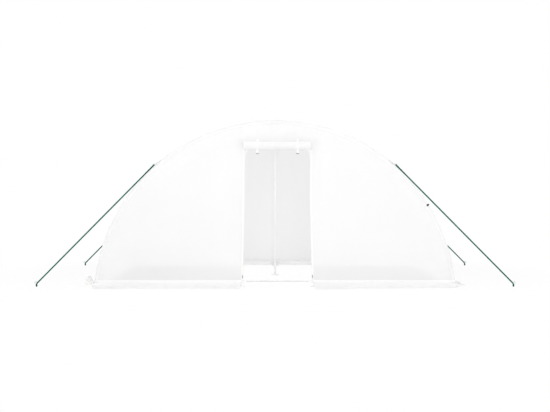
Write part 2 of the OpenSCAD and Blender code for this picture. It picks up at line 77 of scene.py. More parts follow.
class Wire:
    """One output in a node tree. A sum with numbers or other outputs adds its Math nodes."""

    def __init__(self, tree, socket=None):
        self.tree = tree
        self.socket = socket

    def node(self, kind, sockets=None, out=0, **settings):
        """Adds a node: first its settings, then the value or link of each socket, by name or number."""
        made = self.tree.nodes.new(kind)
        for name, value in settings.items():
            setattr(made, name, value)
        for key, value in (sockets or {}).items():
            for one in value if isinstance(value, list) else [value]:
                if isinstance(one, Wire):
                    self.tree.links.new(one.socket, made.inputs[key])
                else:
                    made.inputs[key].default_value = one
        return Wire(self.tree, made.outputs[out] if made.outputs else None)

    def sum(self, operation, *terms):
        return self.node("ShaderNodeMath", dict(enumerate(terms)), operation=operation)

    def before(self, operation, other):
        return self.sum(operation, self, other)

    def after(self, operation, other):
        return self.sum(operation, other, self)

    __add__ = partialmethod(before, "ADD")
    __radd__ = partialmethod(after, "ADD")
    __sub__ = partialmethod(before, "SUBTRACT")
    __rsub__ = partialmethod(after, "SUBTRACT")
    __mul__ = partialmethod(before, "MULTIPLY")
    __rmul__ = partialmethod(after, "MULTIPLY")
    __truediv__ = partialmethod(before, "DIVIDE")


def start_finish(name):
    """A new material, the wire that its nodes grow from, and the place on the object."""
    finish = bpy.data.materials.new(name)
    finish.use_nodes = True
    finish.node_tree.nodes.clear()
    ink = Wire(finish.node_tree)
    return finish, ink, ink.node("ShaderNodeTexCoord", None, "Object")


def end_finish(finish, ink, sockets):
    """Ends a material in one surface with these values and links."""
    shader = ink.node("ShaderNodeBsdfPrincipled", sockets)
    ink.node("ShaderNodeOutputMaterial", {"Surface": shader})
    return finish


def grey(level):
    """Colour without a hue."""
    return (level, level, level, 1.0)


def part_of(vector, axis):
    """One of the three numbers of a vector."""
    return vector.node("ShaderNodeSeparateXYZ", {"Vector": vector}, axis)


def mottle(place, scale, detail):
    """Uneven grain from 0 to 1 about a half, finer with a larger scale."""
    return place.node("ShaderNodeTexNoise", {"Vector": place, "Scale": scale, "Detail": detail})


def ramp(value, low, high, start=0.0, end=1.0):
    """Goes smoothly from start to end while the value goes from low to high."""
    return value.node(
        "ShaderNodeMapRange",
        {"Value": value, "From Min": low, "From Max": high, "To Min": start, "To Max": end},
        interpolation_type="SMOOTHSTEP",
    )


def tint(share, first, second):
    """Colour that goes from the first to the second as the share goes from 0 to 1."""
    return share.node("ShaderNodeMix", {0: share, 6: first, 7: second}, 2, data_type="RGBA")


def relief(height, depth, strength):
    """Bumps of a depth in metres."""
    return height.node("ShaderNodeBump", {"Strength": strength, "Distance": depth, "Height": height})


def coat_finish(name, coat, scuffed, grain, gloss):
    """Paint on metal: fine skin, dull scuffs, and dust that thins out above the ground."""
    finish, ink, place = start_finish(name)
    skin = mottle(place, grain, 2.0)
    cloud = mottle(place, 5.0, 4.0)
    scuff = ramp(mottle(place, 44.0, 6.0), 0.60, 0.74)
    dusty = ramp(part_of(place, "Z"), 0.055, 0.0) * ramp(mottle(place, 19.0, 5.0), 0.30, 0.66)
    painted = tint(ramp(cloud, 0.3, 0.7, 0.0, 0.35) + scuff * 0.5, coat, scuffed)
    return end_finish(finish, ink, {
        "Base Color": tint(dusty * 0.75, painted, ground_dust),
        "Roughness": gloss + cloud * 0.12 + scuff * 0.18 + dusty * 0.25,
        "Normal": relief(skin * 0.7 + scuff * 0.3, 0.00025, 0.5),
    })


def dress_nodes(names, finish):
    """Gives the frame's own solids a finish."""
    for name in names:
        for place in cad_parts[name].material_slots:
            place.material = finish


ground_dust = (0.86, 0.855, 0.84, 1.0)
tube_coat = coat_finish("white_tube_coat", grey(0.965), grey(0.90), 620.0, 0.27)
dress_nodes((
    "front_hoop", "middle_hoop", "rear_hoop", "ridge_purlin", "left_purlins", "right_purlins",
    "left_ground_rail", "right_ground_rail", "front_ground_rail", "rear_ground_rail",
    "left_door_post", "right_door_post", "door_header", "centre_post", "rear_post",
), tube_coat)

# Socket joints, hoop feet, post feet and door frame fittings: tube offcuts welded into sockets and plates.
# They have the same white coat, a little duller over the welds.
socket_coat = coat_finish("white_socket_coat", grey(0.93), grey(0.85), 380.0, 0.36)
dress_nodes((
    "front_hoop_joints", "middle_hoop_joints", "rear_hoop_joints", "hoop_feet",
    "door_frame_fittings", "post_feet",
), socket_coat)

# Socket screws: zinc-plated hex heads on round washers, one through each socket into its tube, turned in
# from inside the tunnel so that none of them rubs the film. Two more hold the inner edge of each foot plate.
sleeve_r, collar_r, rail_socket_r = 0.019, 0.0155, 0.018
screw_off, collar_off = 0.046, 0.056
plate_top, plate_screw = 0.006, 0.038
hex_r, hex_h, washer_r, washer_h = 0.0052, 0.0046, 0.0078, 0.0016


def new_growth(name, inputs):
    """A geometry tree with named inputs, and the wires that lead from them."""
    tree = bpy.data.node_groups.new(name, "GeometryNodeTree")
    tree.interface.new_socket("Geometry", in_out="INPUT", socket_type="NodeSocketGeometry")
    for label, kind in inputs.items():
        tree.interface.new_socket(label, in_out="INPUT", socket_type="NodeSocket" + kind)
    tree.interface.new_socket("Geometry", in_out="OUTPUT", socket_type="NodeSocketGeometry")
    start = tree.nodes.new("NodeGroupInput")
    return tree, {socket.name: Wire(tree, socket) for socket in start.outputs if socket.name}


def close_growth(feed, geometry):
    """Ends a tree in plain geometry with its finish set."""
    whole = geometry.node("GeometryNodeRealizeInstances", {"Geometry": geometry})
    done = whole.node("GeometryNodeSetMaterial", {"Geometry": whole, "Material": feed["Material"]})
    done.node("NodeGroupOutput", {0: done})


def new_mesh(name, points, faces, edges=()):
    """Mesh from points with faces, edges or neither."""
    mesh = bpy.data.meshes.new(name)
    mesh.from_pydata(points, edges, faces)
    return mesh


def set_piece(name, mesh, finish, slot, *nodes):
    """Puts a mesh, or several as one, on the frame and hides the solids that it stands for. The slot is not
    used.
    """
    if isinstance(mesh, list):
        mesh = joined(name, mesh)
    if not mesh.materials:
        mesh.materials.append(finish)
    piece = add_object(name, mesh)
    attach(piece, "root")
    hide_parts(*nodes)
    return piece


def grow_piece(name, base, tree, values, finish, slot, *nodes):
    """Runs a tree over a base mesh and puts the result on the frame as a plain mesh."""
    values = {**values, "Material": finish}
    carrier = add_object(name + "_base", base)
    growth = carrier.modifiers.new(name, "NODES")
    growth.node_group = tree
    for item in tree.interface.items_tree:
        if item.in_out == "INPUT" and item.name in values:
            growth[item.identifier] = values[item.name]
    bpy.context.view_layer.update()
    graph = bpy.context.evaluated_depsgraph_get()
    mesh = bpy.data.meshes.new_from_object(carrier.evaluated_get(graph), depsgraph=graph)
    bpy.data.objects.remove(carrier)
    mesh.name = name
    return set_piece(name, mesh, finish, slot, *nodes)


def on_arch(turn, radius, y):
    """Point at a turn in degrees up the arch and a radius from its centre."""
    return (radius * math.cos(math.radians(turn)), y, arc_z + radius * math.sin(math.radians(turn)))


def zinc_finish(name, bright, dull, gloss):
    """Zinc on steel: bright, with a faint spangle."""
    finish, ink, place = start_finish(name)
    spangle = ink.node("ShaderNodeTexVoronoi", {"Vector": place, "Scale": 240.0}, "Color")
    flake = ink.node("ShaderNodeSeparateColor", {"Color": spangle}, 0)
    wear = mottle(place, 70.0, 5.0)
    return end_finish(finish, ink, {
        "Base Color": tint(flake * 0.6 + wear * 0.4, bright, dull),
        "Metallic": ramp(wear, 0.35, 0.8, 1.0, 0.75),
        "Roughness": gloss + flake * 0.14 + wear * 0.10,
        "Normal": relief(wear, 0.0002, 0.35),
    })


screw_zinc = zinc_finish("screw_zinc", (0.78, 0.79, 0.80, 1.0), (0.60, 0.61, 0.62, 1.0), 0.26)
screw_tree, feed = new_growth("screw_set", {
    "Hex Radius": "Float", "Hex Height": "Float", "Washer Radius": "Float", "Washer Height": "Float",
    "Material": "Material",
})
points = feed["Geometry"]
hex_head = points.node("GeometryNodeMeshCylinder", {
    "Vertices": 6, "Radius": feed["Hex Radius"], "Depth": feed["Hex Height"],
})
washer = points.node("GeometryNodeMeshCylinder", {
    "Vertices": 14, "Radius": feed["Washer Radius"], "Depth": feed["Washer Height"],
})
lift = points.node("ShaderNodeCombineXYZ", {"Z": (feed["Hex Height"] + feed["Washer Height"]) * 0.5})
hex_head = points.node("GeometryNodeTransform", {"Geometry": hex_head, "Translation": lift})
head = points.node("GeometryNodeJoinGeometry", {"Geometry": [hex_head, washer]})
facing = points.node("GeometryNodeInputNamedAttribute", {"Name": "facing"}, data_type="FLOAT_VECTOR")
stand = points.node("FunctionNodeAlignRotationToVector", {"Vector": facing}, axis="Z")
heads = points.node("GeometryNodeInstanceOnPoints", {
    "Points": points, "Instance": head, "Rotation": stand,
})
close_growth(feed, heads)

rail_x = math.sqrt(hoop_r ** 2 - (rail_z - arc_z) ** 2)
screw_turn = math.degrees(screw_off / hoop_r)
upward = (0.0, 0.0, 1.0)
screws = []
for y in hoop_rows:
    ways = [way for way in (-1, 1) if abs(y + way * collar_off) < end_y]
    for turn in purlin_turns:
        inward = (-math.cos(math.radians(turn)), 0.0, -math.sin(math.radians(turn)))
        for off in (-screw_turn, screw_turn):
            screws.append((on_arch(turn + off, hoop_r - sleeve_r, y), inward))
        for way in ways:
            screws.append((on_arch(turn, hoop_r - collar_r, y + way * collar_off), inward))
    for side in (-1, 1):
        for way in ways:
            screws.append(((side * rail_x, y + way * collar_off, rail_z + rail_socket_r), upward))
            screws.append(((side * (rail_x - plate_screw), y + way * plate_screw, plate_top), upward))
screw_base = new_mesh("screw_spots", [spot for spot, _ in screws], [])
facings = screw_base.attributes.new("facing", "FLOAT_VECTOR", "POINT")
facings.data.foreach_set("vector", np.array([way for _, way in screws], dtype=np.float32).ravel())
grow_piece("socket_screws", screw_base, screw_tree, {
    "Hex Radius": hex_r, "Hex Height": hex_h, "Washer Radius": washer_r, "Washer Height": washer_h,
}, screw_zinc, "peg_steel")

# Roof film: one sheet of white polythene reinforced with a woven scrim, pulled over the hoops.
# It lies on the joints, sags a little in each bay between hoops and purlins, and ripples near the end hoops.
film_t, film_bottom, lay, film_in_by, end_clear = 0.003, 0.058, 0.0003, 0.0006, 0.003
film_in = hoop_r + sleeve_r + lay
film_out = film_in + film_t
film_r = film_out - film_in_by
wall_out = tunnel_l / 2 + end_clear + lay + film_t
edge_y = wall_out - film_in_by
film_turn = math.degrees(math.asin((film_bottom - arc_z) / film_in))
purlin_sag, bay_sag, deepest_sag = 0.0055, 0.017, 0.026
ripple_h, crumple_h, crumple_lengths = 0.0011, 0.0013, (1.3, 0.8, 0.55, 0.37, 0.24)


def film_finish(name, tone, yarn, clear, glow, soil_top):
    """Reinforced film: a grid of yarns in a milky sheet that lets light through, with soil near the ground.
    Where a skirt end is lifted, it is painted darker as shade.
    """
    pitch, yarn_w = 0.0105, 0.0016
    finish, ink, place = start_finish(name)
    flat = ink.node("ShaderNodeUVMap", uv_map="film_uv")
    grid = []
    for axis in ("X", "Y"):
        wave = ink.sum("PINGPONG", part_of(flat, axis), pitch / 2)
        grid.append(ramp(wave, (pitch - yarn_w) / 2, (pitch - yarn_w * 0.4) / 2))
    scrim = ink.sum("MAXIMUM", *grid)
    cloud = mottle(place, 1.3, 3.0)
    crinkle = mottle(place, 52.0, 5.0)
    runs = ink.node("ShaderNodeMapping", {"Vector": place, "Scale": (9.0, 9.0, 0.9)})
    streak = ramp(mottle(runs, 1.0, 4.0), 0.42, 0.72)
    soil = ramp(part_of(place, "Z"), soil_top, 0.0) * (0.35 + streak * 0.65)
    # Painted shade: the share where a skirt end is lifted darkens the film, for the shade under the curl.
    lifted = ink.node("ShaderNodeAttribute", None, "Fac", attribute_name="lifted")
    plain = tint(ramp(cloud, 0.3, 0.7) * 0.5, tone, tuple(c * 0.975 for c in tone[:3]) + (1.0,))
    woven = tint(scrim * 0.6, plain, yarn)
    skin = ink.node("ShaderNodeBsdfPrincipled", {
        # This grey darkens the soil near the ground, which is dirt, and the lifted skirt ends as painted
        # shade.
        "Base Color": tint(soil * 0.5 + streak * 0.02 + lifted * 0.5, woven, (0.76, 0.755, 0.74, 1.0)),
        "Roughness": 0.40 + crinkle * 0.16 - scrim * 0.06 + soil * 0.2,
        "Alpha": 1.0 - clear * (1.0 - scrim * 0.75 - soil * 0.2),
        "Specular IOR Level": 0.32,
        "Normal": relief(scrim * 0.55 + crinkle * 0.45, 0.0006, 0.45),
    })
    through = ink.node("ShaderNodeBsdfTranslucent", {"Color": tone})
    shader = ink.node("ShaderNodeMixShader", {0: glow, 1: skin, 2: through})
    ink.node("ShaderNodeOutputMaterial", {"Surface": shader})
    return finish


def lay_flat(mesh, flat):
    """Gives a mesh the flat film or strap in metres as its UV map, from one place for each point."""
    corners = np.empty(len(mesh.loops), dtype=np.int32)
    mesh.loops.foreach_get("vertex_index", corners)
    flat_map = mesh.uv_layers.new(name="film_uv")
    flat_map.data.foreach_set("uv", flat.reshape(-1, 2)[corners].astype(np.float32).ravel())


def film_mesh(name, points, flat):
    """Mesh of a film from a grid of points, with the flat film beneath."""
    rows, cols = points.shape[:2]
    order = np.arange(rows * cols).reshape(rows, cols)
    quads = np.stack((order[:-1, :-1], order[:-1, 1:], order[1:, 1:], order[1:, :-1]), axis=-1)
    mesh = new_mesh(name, points.reshape(-1, 3).tolist(), quads.reshape(-1, 4).tolist())
    lay_flat(mesh, flat)
    mesh.shade_smooth()
    return mesh


def film_piece(name, points, flat, finish, slot, *nodes):
    """Film from a grid of points, put on the frame."""
    return set_piece(name, film_mesh(name, points, flat), finish, slot, *nodes)


def grid_of(*parts):
    """Places from their two or three parts."""
    return np.stack(np.broadcast_arrays(*parts), axis=-1)


def ripples(u, v, lengths, seed):
    """Uneven waves of about unit height, with one random direction and phase for each wave length."""
    draw = np.random.default_rng(seed)
    total = np.zeros(np.broadcast(u, v).shape)
    for length in lengths:
        turn, phase = draw.uniform(0.0, 2 * np.pi, 2)
        total += np.sin(2 * np.pi * (u * np.cos(turn) + v * np.sin(turn)) / length + phase)
    return total / np.sqrt(len(lengths))


def ease(value, low, high):
    """Smooth step from 0 at low to 1 at high."""
    t = np.clip((value - low) / (high - low), 0.0, 1.0)
    return t * t * (3 - 2 * t)


white_film = film_finish("white_film", grey(0.945), grey(0.955), 0.20, 0.30, 0.10)
bays = np.concatenate((
    [-edge_y], np.linspace(-end_y, 0.0, 78), np.linspace(0.0, end_y, 78)[1:], [edge_y]
))
turns = np.linspace(film_turn, 180 - film_turn, 331)
turn_grid, y_grid = np.meshgrid(turns, bays, indexing="ij")
rests = np.array((film_turn,) + purlin_turns + (180 - film_turn,))
rest_sag = np.array([0.0] + [purlin_sag] * len(purlin_turns) + [0.0])
cell = np.clip(np.searchsorted(rests, turn_grid, side="right") - 1, 0, len(rests) - 2)
cell_share = (turn_grid - rests[cell]) / (rests[cell + 1] - rests[cell])
arch_sag = np.interp(turn_grid, rests, rest_sag) + bay_sag * np.sin(np.pi * cell_share) ** 2
bay_share = np.clip(np.abs(y_grid) / end_y, 0.0, 1.0)
hoop_rise = np.sin(np.pi * bay_share) ** 0.8
arc_run = np.radians(turn_grid) * film_r
near_hoop = np.minimum(np.abs(y_grid), np.abs(end_y - np.abs(y_grid)))
pucker = np.sin(2 * np.pi * arc_run / 0.13 + 2.2 * np.sin(arc_run * 1.9 + y_grid))
ripple = ripple_h * pucker * np.exp(-near_hoop / 0.22) * ease(near_hoop, 0.01, 0.09)
crumple = crumple_h * ripples(arc_run, y_grid, crumple_lengths, 7) * hoop_rise
foot_gate = ease(np.minimum(turn_grid - film_turn, 180 - film_turn - turn_grid), 0.2, 4.0)
roof_rise = -arch_sag * hoop_rise + (ripple + crumple) * foot_gate
roof_radius = film_r + np.maximum(roof_rise, -deepest_sag)
roof_points = grid_of(
    roof_radius * np.cos(np.radians(turn_grid)), y_grid, arc_z + roof_radius * np.sin(np.radians(turn_grid))
)
roof_film = film_piece(
    "roof_film", roof_points, grid_of(y_grid, arc_run), white_film, "film",
    *(f"roof_{side}_{strip}" for side in ("right", "left") for strip in (1, 2, 3, 4)),
)

# End walls: two more sheets of the film, welded to the roof along the end hoops. The doorway is cut out of
# the front one. Both are a little slack: they pucker along the arch and fold softly by the doorway.
door_shift, door_w, door_head_w, door_h = 0.035, 0.965, 0.905, 1.900
door_bow_left, door_bow_right = 0.004, 0.014
zip_w = 0.026
wall_rows_side, wall_rows_head, wall_cols = 150, 64, 88
corner_turn = 105.0
belly_h, loose_h, drawn_h, pucker_h, hang_h = 0.0042, 0.0011, 0.0013, 0.0012, 0.0012
loose_lengths = (1.5, 0.95, 0.66, 0.41, 0.27)


def door_edge(side, z):
    """Place of the doorway's left or right edge at a height: wider at its foot, bowed in half way up."""
    share = (z - film_bottom) / (door_h - film_bottom)
    half = (door_w + (door_head_w - door_w) * share) / 2
    bow = door_bow_right if side > 0 else door_bow_left
    return door_shift + side * (half - bow * np.sin(np.pi * np.clip(share, 0.0, 1.0)))


def wall_slack(x, z, arch_off, door_off, seed):
    """How far the wall stands out from its plane, given how far a place is from the arch and the doorway."""
    edge = np.minimum(np.minimum(arch_off, door_off), z - film_bottom)
    gate = ease(edge, 0.012, 0.20)
    arc = np.arctan2(z - arc_z, x) * film_r
    pucker = np.sin(2 * np.pi * arc / 0.12 + 2.0 * np.sin(arc * 1.6)) * np.exp(-arch_off / 0.16)
    hang = np.sin(2 * np.pi * door_off / 0.15 + 1.4 * np.sin(z * 2.1)) * np.exp(-door_off / 0.20)
    slant = np.where(x < 0, -x, x) * 0.64 - z * 0.77
    corner = np.hypot(np.abs(x) - tunnel_w / 2, z)
    drawn = np.sin(2 * np.pi * slant / 0.24 + 1.5 * np.sin(corner * 3.0)) * np.exp(-corner / 0.7)
    loose = ripples(x, z, loose_lengths, seed)
    return (
        belly_h * gate + loose_h * loose * gate + drawn_h * drawn * gate
        + pucker_h * pucker * ease(arch_off, 0.006, 0.05) * ease(edge, 0.004, 0.05)
        + hang_h * hang * ease(door_off, 0.03, 0.09) * gate
    )


def edit_mesh(mesh, change):
    """Changes a mesh by one step on its faces, edges or points."""
    shape = bmesh.new()
    shape.from_mesh(mesh)
    change(shape)
    shape.to_mesh(mesh)
    shape.free()
    return mesh


side_z = np.linspace(film_bottom, door_h, wall_rows_side)
head_x = np.linspace(door_edge(-1, door_h), door_edge(1, door_h), wall_rows_head)[1:-1]
inner = np.concatenate((
    grid_of(door_edge(-1, side_z), side_z), grid_of(head_x, door_h),
    grid_of(door_edge(1, side_z), side_z)[::-1],
))
arch_turns = np.radians(np.concatenate((
    np.linspace(180 - film_turn, corner_turn, wall_rows_side),
    np.linspace(corner_turn, 180 - corner_turn, wall_rows_head)[1:-1],
    np.linspace(180 - corner_turn, film_turn, wall_rows_side),
)))
outer = grid_of(film_r * np.cos(arch_turns), arc_z + film_r * np.sin(arch_turns))
shares = np.linspace(1.0, 0.0, wall_cols)[None, :, None]
plane = inner[:, None, :] * (1 - shares) + outer[:, None, :] * shares
wall_x, wall_z = plane[..., 0], plane[..., 1]
span = np.linalg.norm(outer - inner, axis=-1)[:, None]
door_off = span * shares[..., 0]
arch_off = film_r - np.hypot(wall_x, wall_z - arc_z)
front_out = wall_slack(wall_x, wall_z, arch_off, door_off, 21)
front_wall = film_piece(
    "front_wall_film", grid_of(wall_x, -edge_y - front_out, wall_z), plane, white_film, "film",
    "front_wall_left", "front_wall_right", "front_wall_head",
)

rear_rows, no_door = 91, 9.0
rear_turns = np.radians(np.linspace(film_turn, 180 - film_turn, 301))
rear_top = arc_z + film_r * np.sin(rear_turns)
rear_rise = np.linspace(0.0, 1.0, rear_rows)[None, :]
rear_x = np.repeat((film_r * np.cos(rear_turns))[:, None], rear_rows, axis=1)
rear_z = film_bottom + (rear_top[:, None] - film_bottom) * rear_rise
rear_off = film_r - np.hypot(rear_x, rear_z - arc_z)
rear_out = wall_slack(rear_x, rear_z, rear_off, np.full_like(rear_x, no_door), 34)
rear_points = grid_of(rear_x, edge_y + rear_out, rear_z)[:, ::-1]
rear_mesh = film_mesh("rear_wall_film", rear_points, grid_of(rear_x, rear_z)[:, ::-1])
edit_mesh(rear_mesh, lambda shape: bmesh.ops.remove_doubles(shape, verts=shape.verts, dist=1e-5))
rear_wall = set_piece("rear_wall_film", rear_mesh, white_film, "film", "rear_wall")

# Hems: a doubled band of film is welded over the seam of roof and end wall and folded round the corner.
# Another runs round the roof over the middle hoop, where the film rubs most, and whiter ones run along the
# feet of the end walls: their whiter tone is a painted highlight for the bright line over the white ground
# rail.
hem_w, hem_lift, fold = 0.044, 0.0009, 0.0004
hem_turns = np.radians(np.linspace(film_turn, 180 - film_turn, 241))


def loft(rings, closed=False):
    """Skin over rings of points, capped unless the last ring leads on to the first."""
    order = np.arange(rings.shape[0] * rings.shape[1]).reshape(rings.shape[:2])
    lower = order if closed else order[:-1]
    upper = np.roll(order, -1, axis=0) if closed else order[1:]
    quads = np.stack((lower, np.roll(lower, -1, 1), np.roll(upper, -1, 1), upper), axis=-1)
    caps = [] if closed else [order[0][::-1].tolist(), order[-1].tolist()]
    return new_mesh("loft", rings.reshape(-1, 3).tolist(), quads.reshape(-1, 4).tolist() + caps)


def tube_mesh(path, radius, sides, closed=False):
    """Round rod along a line of points."""
    path = np.asarray(path, dtype=float)
    ahead = np.roll(path, -1, axis=0) - np.roll(path, 1, axis=0)
    if not closed:
        ahead[0], ahead[-1] = path[1] - path[0], path[-1] - path[-2]
    ahead /= np.linalg.norm(ahead, axis=1)[:, None]
    across = np.cross(ahead[0], upward if abs(ahead[0][2]) < 0.9 else (0.0, 1.0, 0.0))
    turn = np.arange(sides)[:, None] * 2 * np.pi / sides
    rings = []
    for spot, way in zip(path, ahead):
        across = across - way * np.dot(across, way)
        across /= np.linalg.norm(across)
        rings.append(spot + radius * (np.cos(turn) * across + np.sin(turn) * np.cross(way, across)))
    mesh = loft(np.array(rings), closed)
    mesh.shade_smooth()
    return mesh


def joined(name, meshes):
    """One mesh from several, which keep their UV maps."""
    whole = bmesh.new()
    for mesh in meshes:
        whole.from_mesh(mesh)
        bpy.data.meshes.remove(mesh)
    mesh = bpy.data.meshes.new(name)
    whole.to_mesh(mesh)
    whole.free()
    return mesh


def run_along(path):
    """How far along a line each of its points lies."""
    return np.concatenate(([0.0], np.cumsum(np.linalg.norm(np.diff(path, axis=0), axis=1))))


def arch_band(name, radii, places):
    """Strip along the whole arch, given the radius and place along the tunnel of each line of its width."""
    radii, turns = np.asarray(radii), hem_turns[:, None]
    points = grid_of(np.cos(turns) * radii, np.asarray(places), arc_z + np.sin(turns) * radii)
    flat = grid_of(run_along(grid_of(radii, places)), turns * film_r)
    return film_piece(name, points, flat, hem_film, "film")


hem_film = film_finish("doubled_film", grey(0.938), grey(0.948), 0.06, 0.16, 0.10)
hem_r = film_r + hem_lift
hem_y = edge_y + hem_lift
for name, side in (("front", -1), ("rear", 1)):
    radii = [hem_r, hem_r, hem_r, hem_r - fold, hem_r - 3 * fold, hem_r - hem_w * 0.5, hem_r - hem_w]
    places = [side * (hem_y - back) for back in (hem_w, hem_w * 0.5, 3 * fold, 0.0, 0.0, 0.0, 0.0)]
    if side < 0:
        radii, places = radii[::-1], places[::-1]
    arch_band(name + "_arch_hem", radii, places)
foot_low, foot_high, foot_short, foot_bulge = film_bottom + 0.001, film_bottom + 0.036, 0.004, 0.0012
# Painted highlight: the foot hems are whiter than the wall film, for the bright line where it lies over the
# ground rail.
foot_film = film_finish("foot_hem_film", grey(0.985), grey(0.99), 0.04, 0.10, 0.050)
for name, side, start, stop in (
    ("front_left_foot_hem", -1, -1.0, float(door_edge(-1, foot_high)) - zip_w),
    ("front_right_foot_hem", -1, float(door_edge(1, foot_high)) + zip_w, 1.0),
    ("rear_foot_hem", 1, -1.0, 1.0),
):
    along = np.linspace(0.0, 1.0, 90)[:, None]
    high = np.linspace(foot_low, foot_high, 6)[None, :]
    reach = np.sqrt(film_r ** 2 - (high - arc_z) ** 2) - foot_short
    first, last = (reach * end if abs(end) == 1.0 else end + 0 * reach for end in (start, stop))
    x = first + (last - first) * along
    lift = hem_lift + foot_bulge * np.sin(np.pi * (high - foot_low) / (foot_high - foot_low))
    grid, flat = grid_of(x, side * (edge_y + lift), high), grid_of(x, high)
    if side < 0:
        grid, flat = grid[::-1], flat[::-1]
    film_piece(name, grid, flat, foot_film, "film")
arch_band("middle_hoop_band", [hem_r] * 5, np.linspace(-hem_w, hem_w, 5))

# Skirts: flaps of the same film, welded on under the cover and laid out on the ground on all four sides.
# They are loose: their edges waver, their corners are rounded, the right front one lies askew, and the front
# ends of the side flaps curl up. Their tones are painted light: whiter on the end flaps and a little greyer
# on the side flaps than the wall film, for how the flat flaps catch light. The curled ends are painted
# darker as shade.
end_skirt_w, side_skirt_w, skirt_fall, skirt_round = 0.350, 0.170, 0.130, 0.060
skirt_tuck, skirt_spare, skirt_trim, skirt_low = 0.0015, 0.02, 0.012, 0.0012
sway_h, wave_h, crease_h, curl_reach = 0.010, 0.0060, 0.0010, 0.15
skirt_top = film_bottom - 0.002
side_x = math.sqrt(film_out ** 2 - (film_bottom - arc_z) ** 2)
skirt_end = side_x - film_t
# Painted light: the end flaps get a whiter tone than the wall film, for the light that the flat flaps catch.
skirt_film = film_finish("skirt_film", grey(0.985), grey(0.99), 0.06, 0.14, 0.040)


def skirt_points(length, width, seed, curl=(0.0, 0.0), askew=(1.0, 1.0), slack=1.0):
    """Grid over a flap: how far along, out and high, the flat film beneath, and how far it is lifted."""
    rows, cols = max(int(length / 0.022), 20), 26
    along = np.linspace(0.0, length, rows)[:, None]
    share = np.linspace(0.0, 1.0, cols)[None, :]
    near_end = np.minimum(along, length - along)
    over = np.maximum(skirt_round - near_end, 0.0)
    corner = skirt_round - np.sqrt(np.maximum(skirt_round ** 2 - over ** 2, 0.0))
    sway = sway_h * ripples(along, np.zeros_like(along), (1.1, 0.62, 0.34), seed)
    slant = askew[0] + (askew[1] - askew[0]) * along / length
    reach = share * (width * slant - corner + sway * ease(near_end, 0.0, curl_reach) - skirt_trim)
    high = skirt_top * np.clip(1 - reach / skirt_fall, 0.0, 1.0) ** 1.6
    wave = ripples(along, reach * 0.6, (0.47, 0.31, 0.21, 0.16), seed + 1)
    loose = np.clip(reach / width, 0.0, 1.0) ** 1.5
    high = high + wave_h * slack * loose * np.clip(wave + 0.25, 0.0, None)
    high = high + crease_h * slack * ripples(along, reach, (0.16, 0.11), seed + 2) * ease(reach, 0.0, 0.05)
    # The lifted share marks the curled ends, which the film finish paints darker as shade.
    lifted = np.zeros_like(high)
    for off, lift in ((along, curl[0]), (length - along, curl[1])):
        bend = lift * np.exp(-(off / curl_reach) ** 2) * ease(reach, 0.0, 0.7 * width)
        reach = reach - 0.35 * bend
        high = high + bend
        lifted = lifted + ease(bend, 0.02, 0.07)
    return along, reach, np.maximum(high, skirt_low), grid_of(along, share * width * slant), lifted


# Painted light: the side flaps get their own tone, a little greyer than the wall film, tuned for the light
# they catch.
side_film = film_finish(
    "side_skirt_film", (0.93, 0.93, 0.925, 1.0), (0.945, 0.945, 0.94, 1.0), 0.06, 0.16, 0.060
)
for name, side, curl, seed in (("left", -1, (0.15, 0.02), 51), ("right", 1, (0.022, 0.03), 61)):
    along, reach, high, flat, lifted = skirt_points(2 * wall_out, side_skirt_w, seed, curl)
    grid = grid_of(side * (side_x - skirt_tuck + reach), along - wall_out, high)
    if side > 0:
        grid, flat, lifted = grid[:, ::-1], flat[:, ::-1], lifted[:, ::-1]
    piece = film_piece(name + "_skirt_film", grid, flat, side_film, "skirt_film", name + "_skirt")
    # Painted shade: the lifted share darkens the curled ends of the side flaps.
    curl_shade = piece.data.attributes.new("lifted", "FLOAT", "POINT")
    curl_shade.data.foreach_set("value", lifted.astype(np.float32).ravel())
door_foot = (float(door_edge(-1, film_bottom)) - zip_w, float(door_edge(1, film_bottom)) + zip_w)
for name, side, start, stop, seed, askew, slack, end in (
    ("front_left", -1, -skirt_end, door_foot[0], 71, (1.0, 1.03), 1.0, "front"),
    ("front_right", -1, door_foot[1], skirt_end, 81, (1.28, 0.55), 1.0, "front"),
    ("rear", 1, -skirt_end, skirt_end, 91, (1.0, 1.0), 0.3, "rear"),
):
    along, reach, high, flat, _ = skirt_points(stop - start, end_skirt_w, seed, askew=askew, slack=slack)
    grid = grid_of(start + along, side * (wall_out - skirt_tuck + reach), high)
    if side > 0:
        grid, flat = grid[:, ::-1], flat[:, ::-1]
    piece = film_piece(name + "_skirt_film", grid, flat, skirt_film, "skirt_film", end + "_skirt")

# Rolled door: a sheet of the film as wide as the doorway, hung from the doorway's head and rolled up.
# The roll is uneven, pulled in where the two ties hold it, and its turns stand out unequally at both ends.
roll_r, roll_core, roll_over = 0.0575, 0.0130, 0.012
roll_y = -(wall_out + 0.0606)
roll_z = door_h + roll_r
roll_skin, roll_pitch = 0.0556, 0.0046
tie_gap, tie_w = 0.554, 0.028
tie_places = (door_shift - tie_gap / 2, door_shift + tie_gap / 2)
roll_left = float(door_edge(-1, door_h)) - roll_over
roll_right = float(door_edge(1, door_h)) + roll_over
roll_in, pinch_w, pinch_in, bulge_h = 0.007, 0.034, 0.024, 0.0011
roll_w = roll_right - roll_left - 2 * roll_in
roll_turns = (roll_skin - roll_core) / roll_pitch
wound = np.linspace(0.0, roll_turns, int(roll_turns * 36))[:, None]
roll_share = np.linspace(0.0, 1.0, 66)[None, :]
stand_out = 0.0045 * np.sin(wound * 1.7) + 0.003 * np.sin(wound * 4.1 + 1.0)
roll_x = roll_left + roll_in + roll_w * roll_share + stand_out * (2 * roll_share - 1)
pinch = sum(np.exp(-((roll_x - place) / pinch_w) ** 2) for place in tie_places)
wind_turn = np.radians(-92.0) - 2 * np.pi * wound
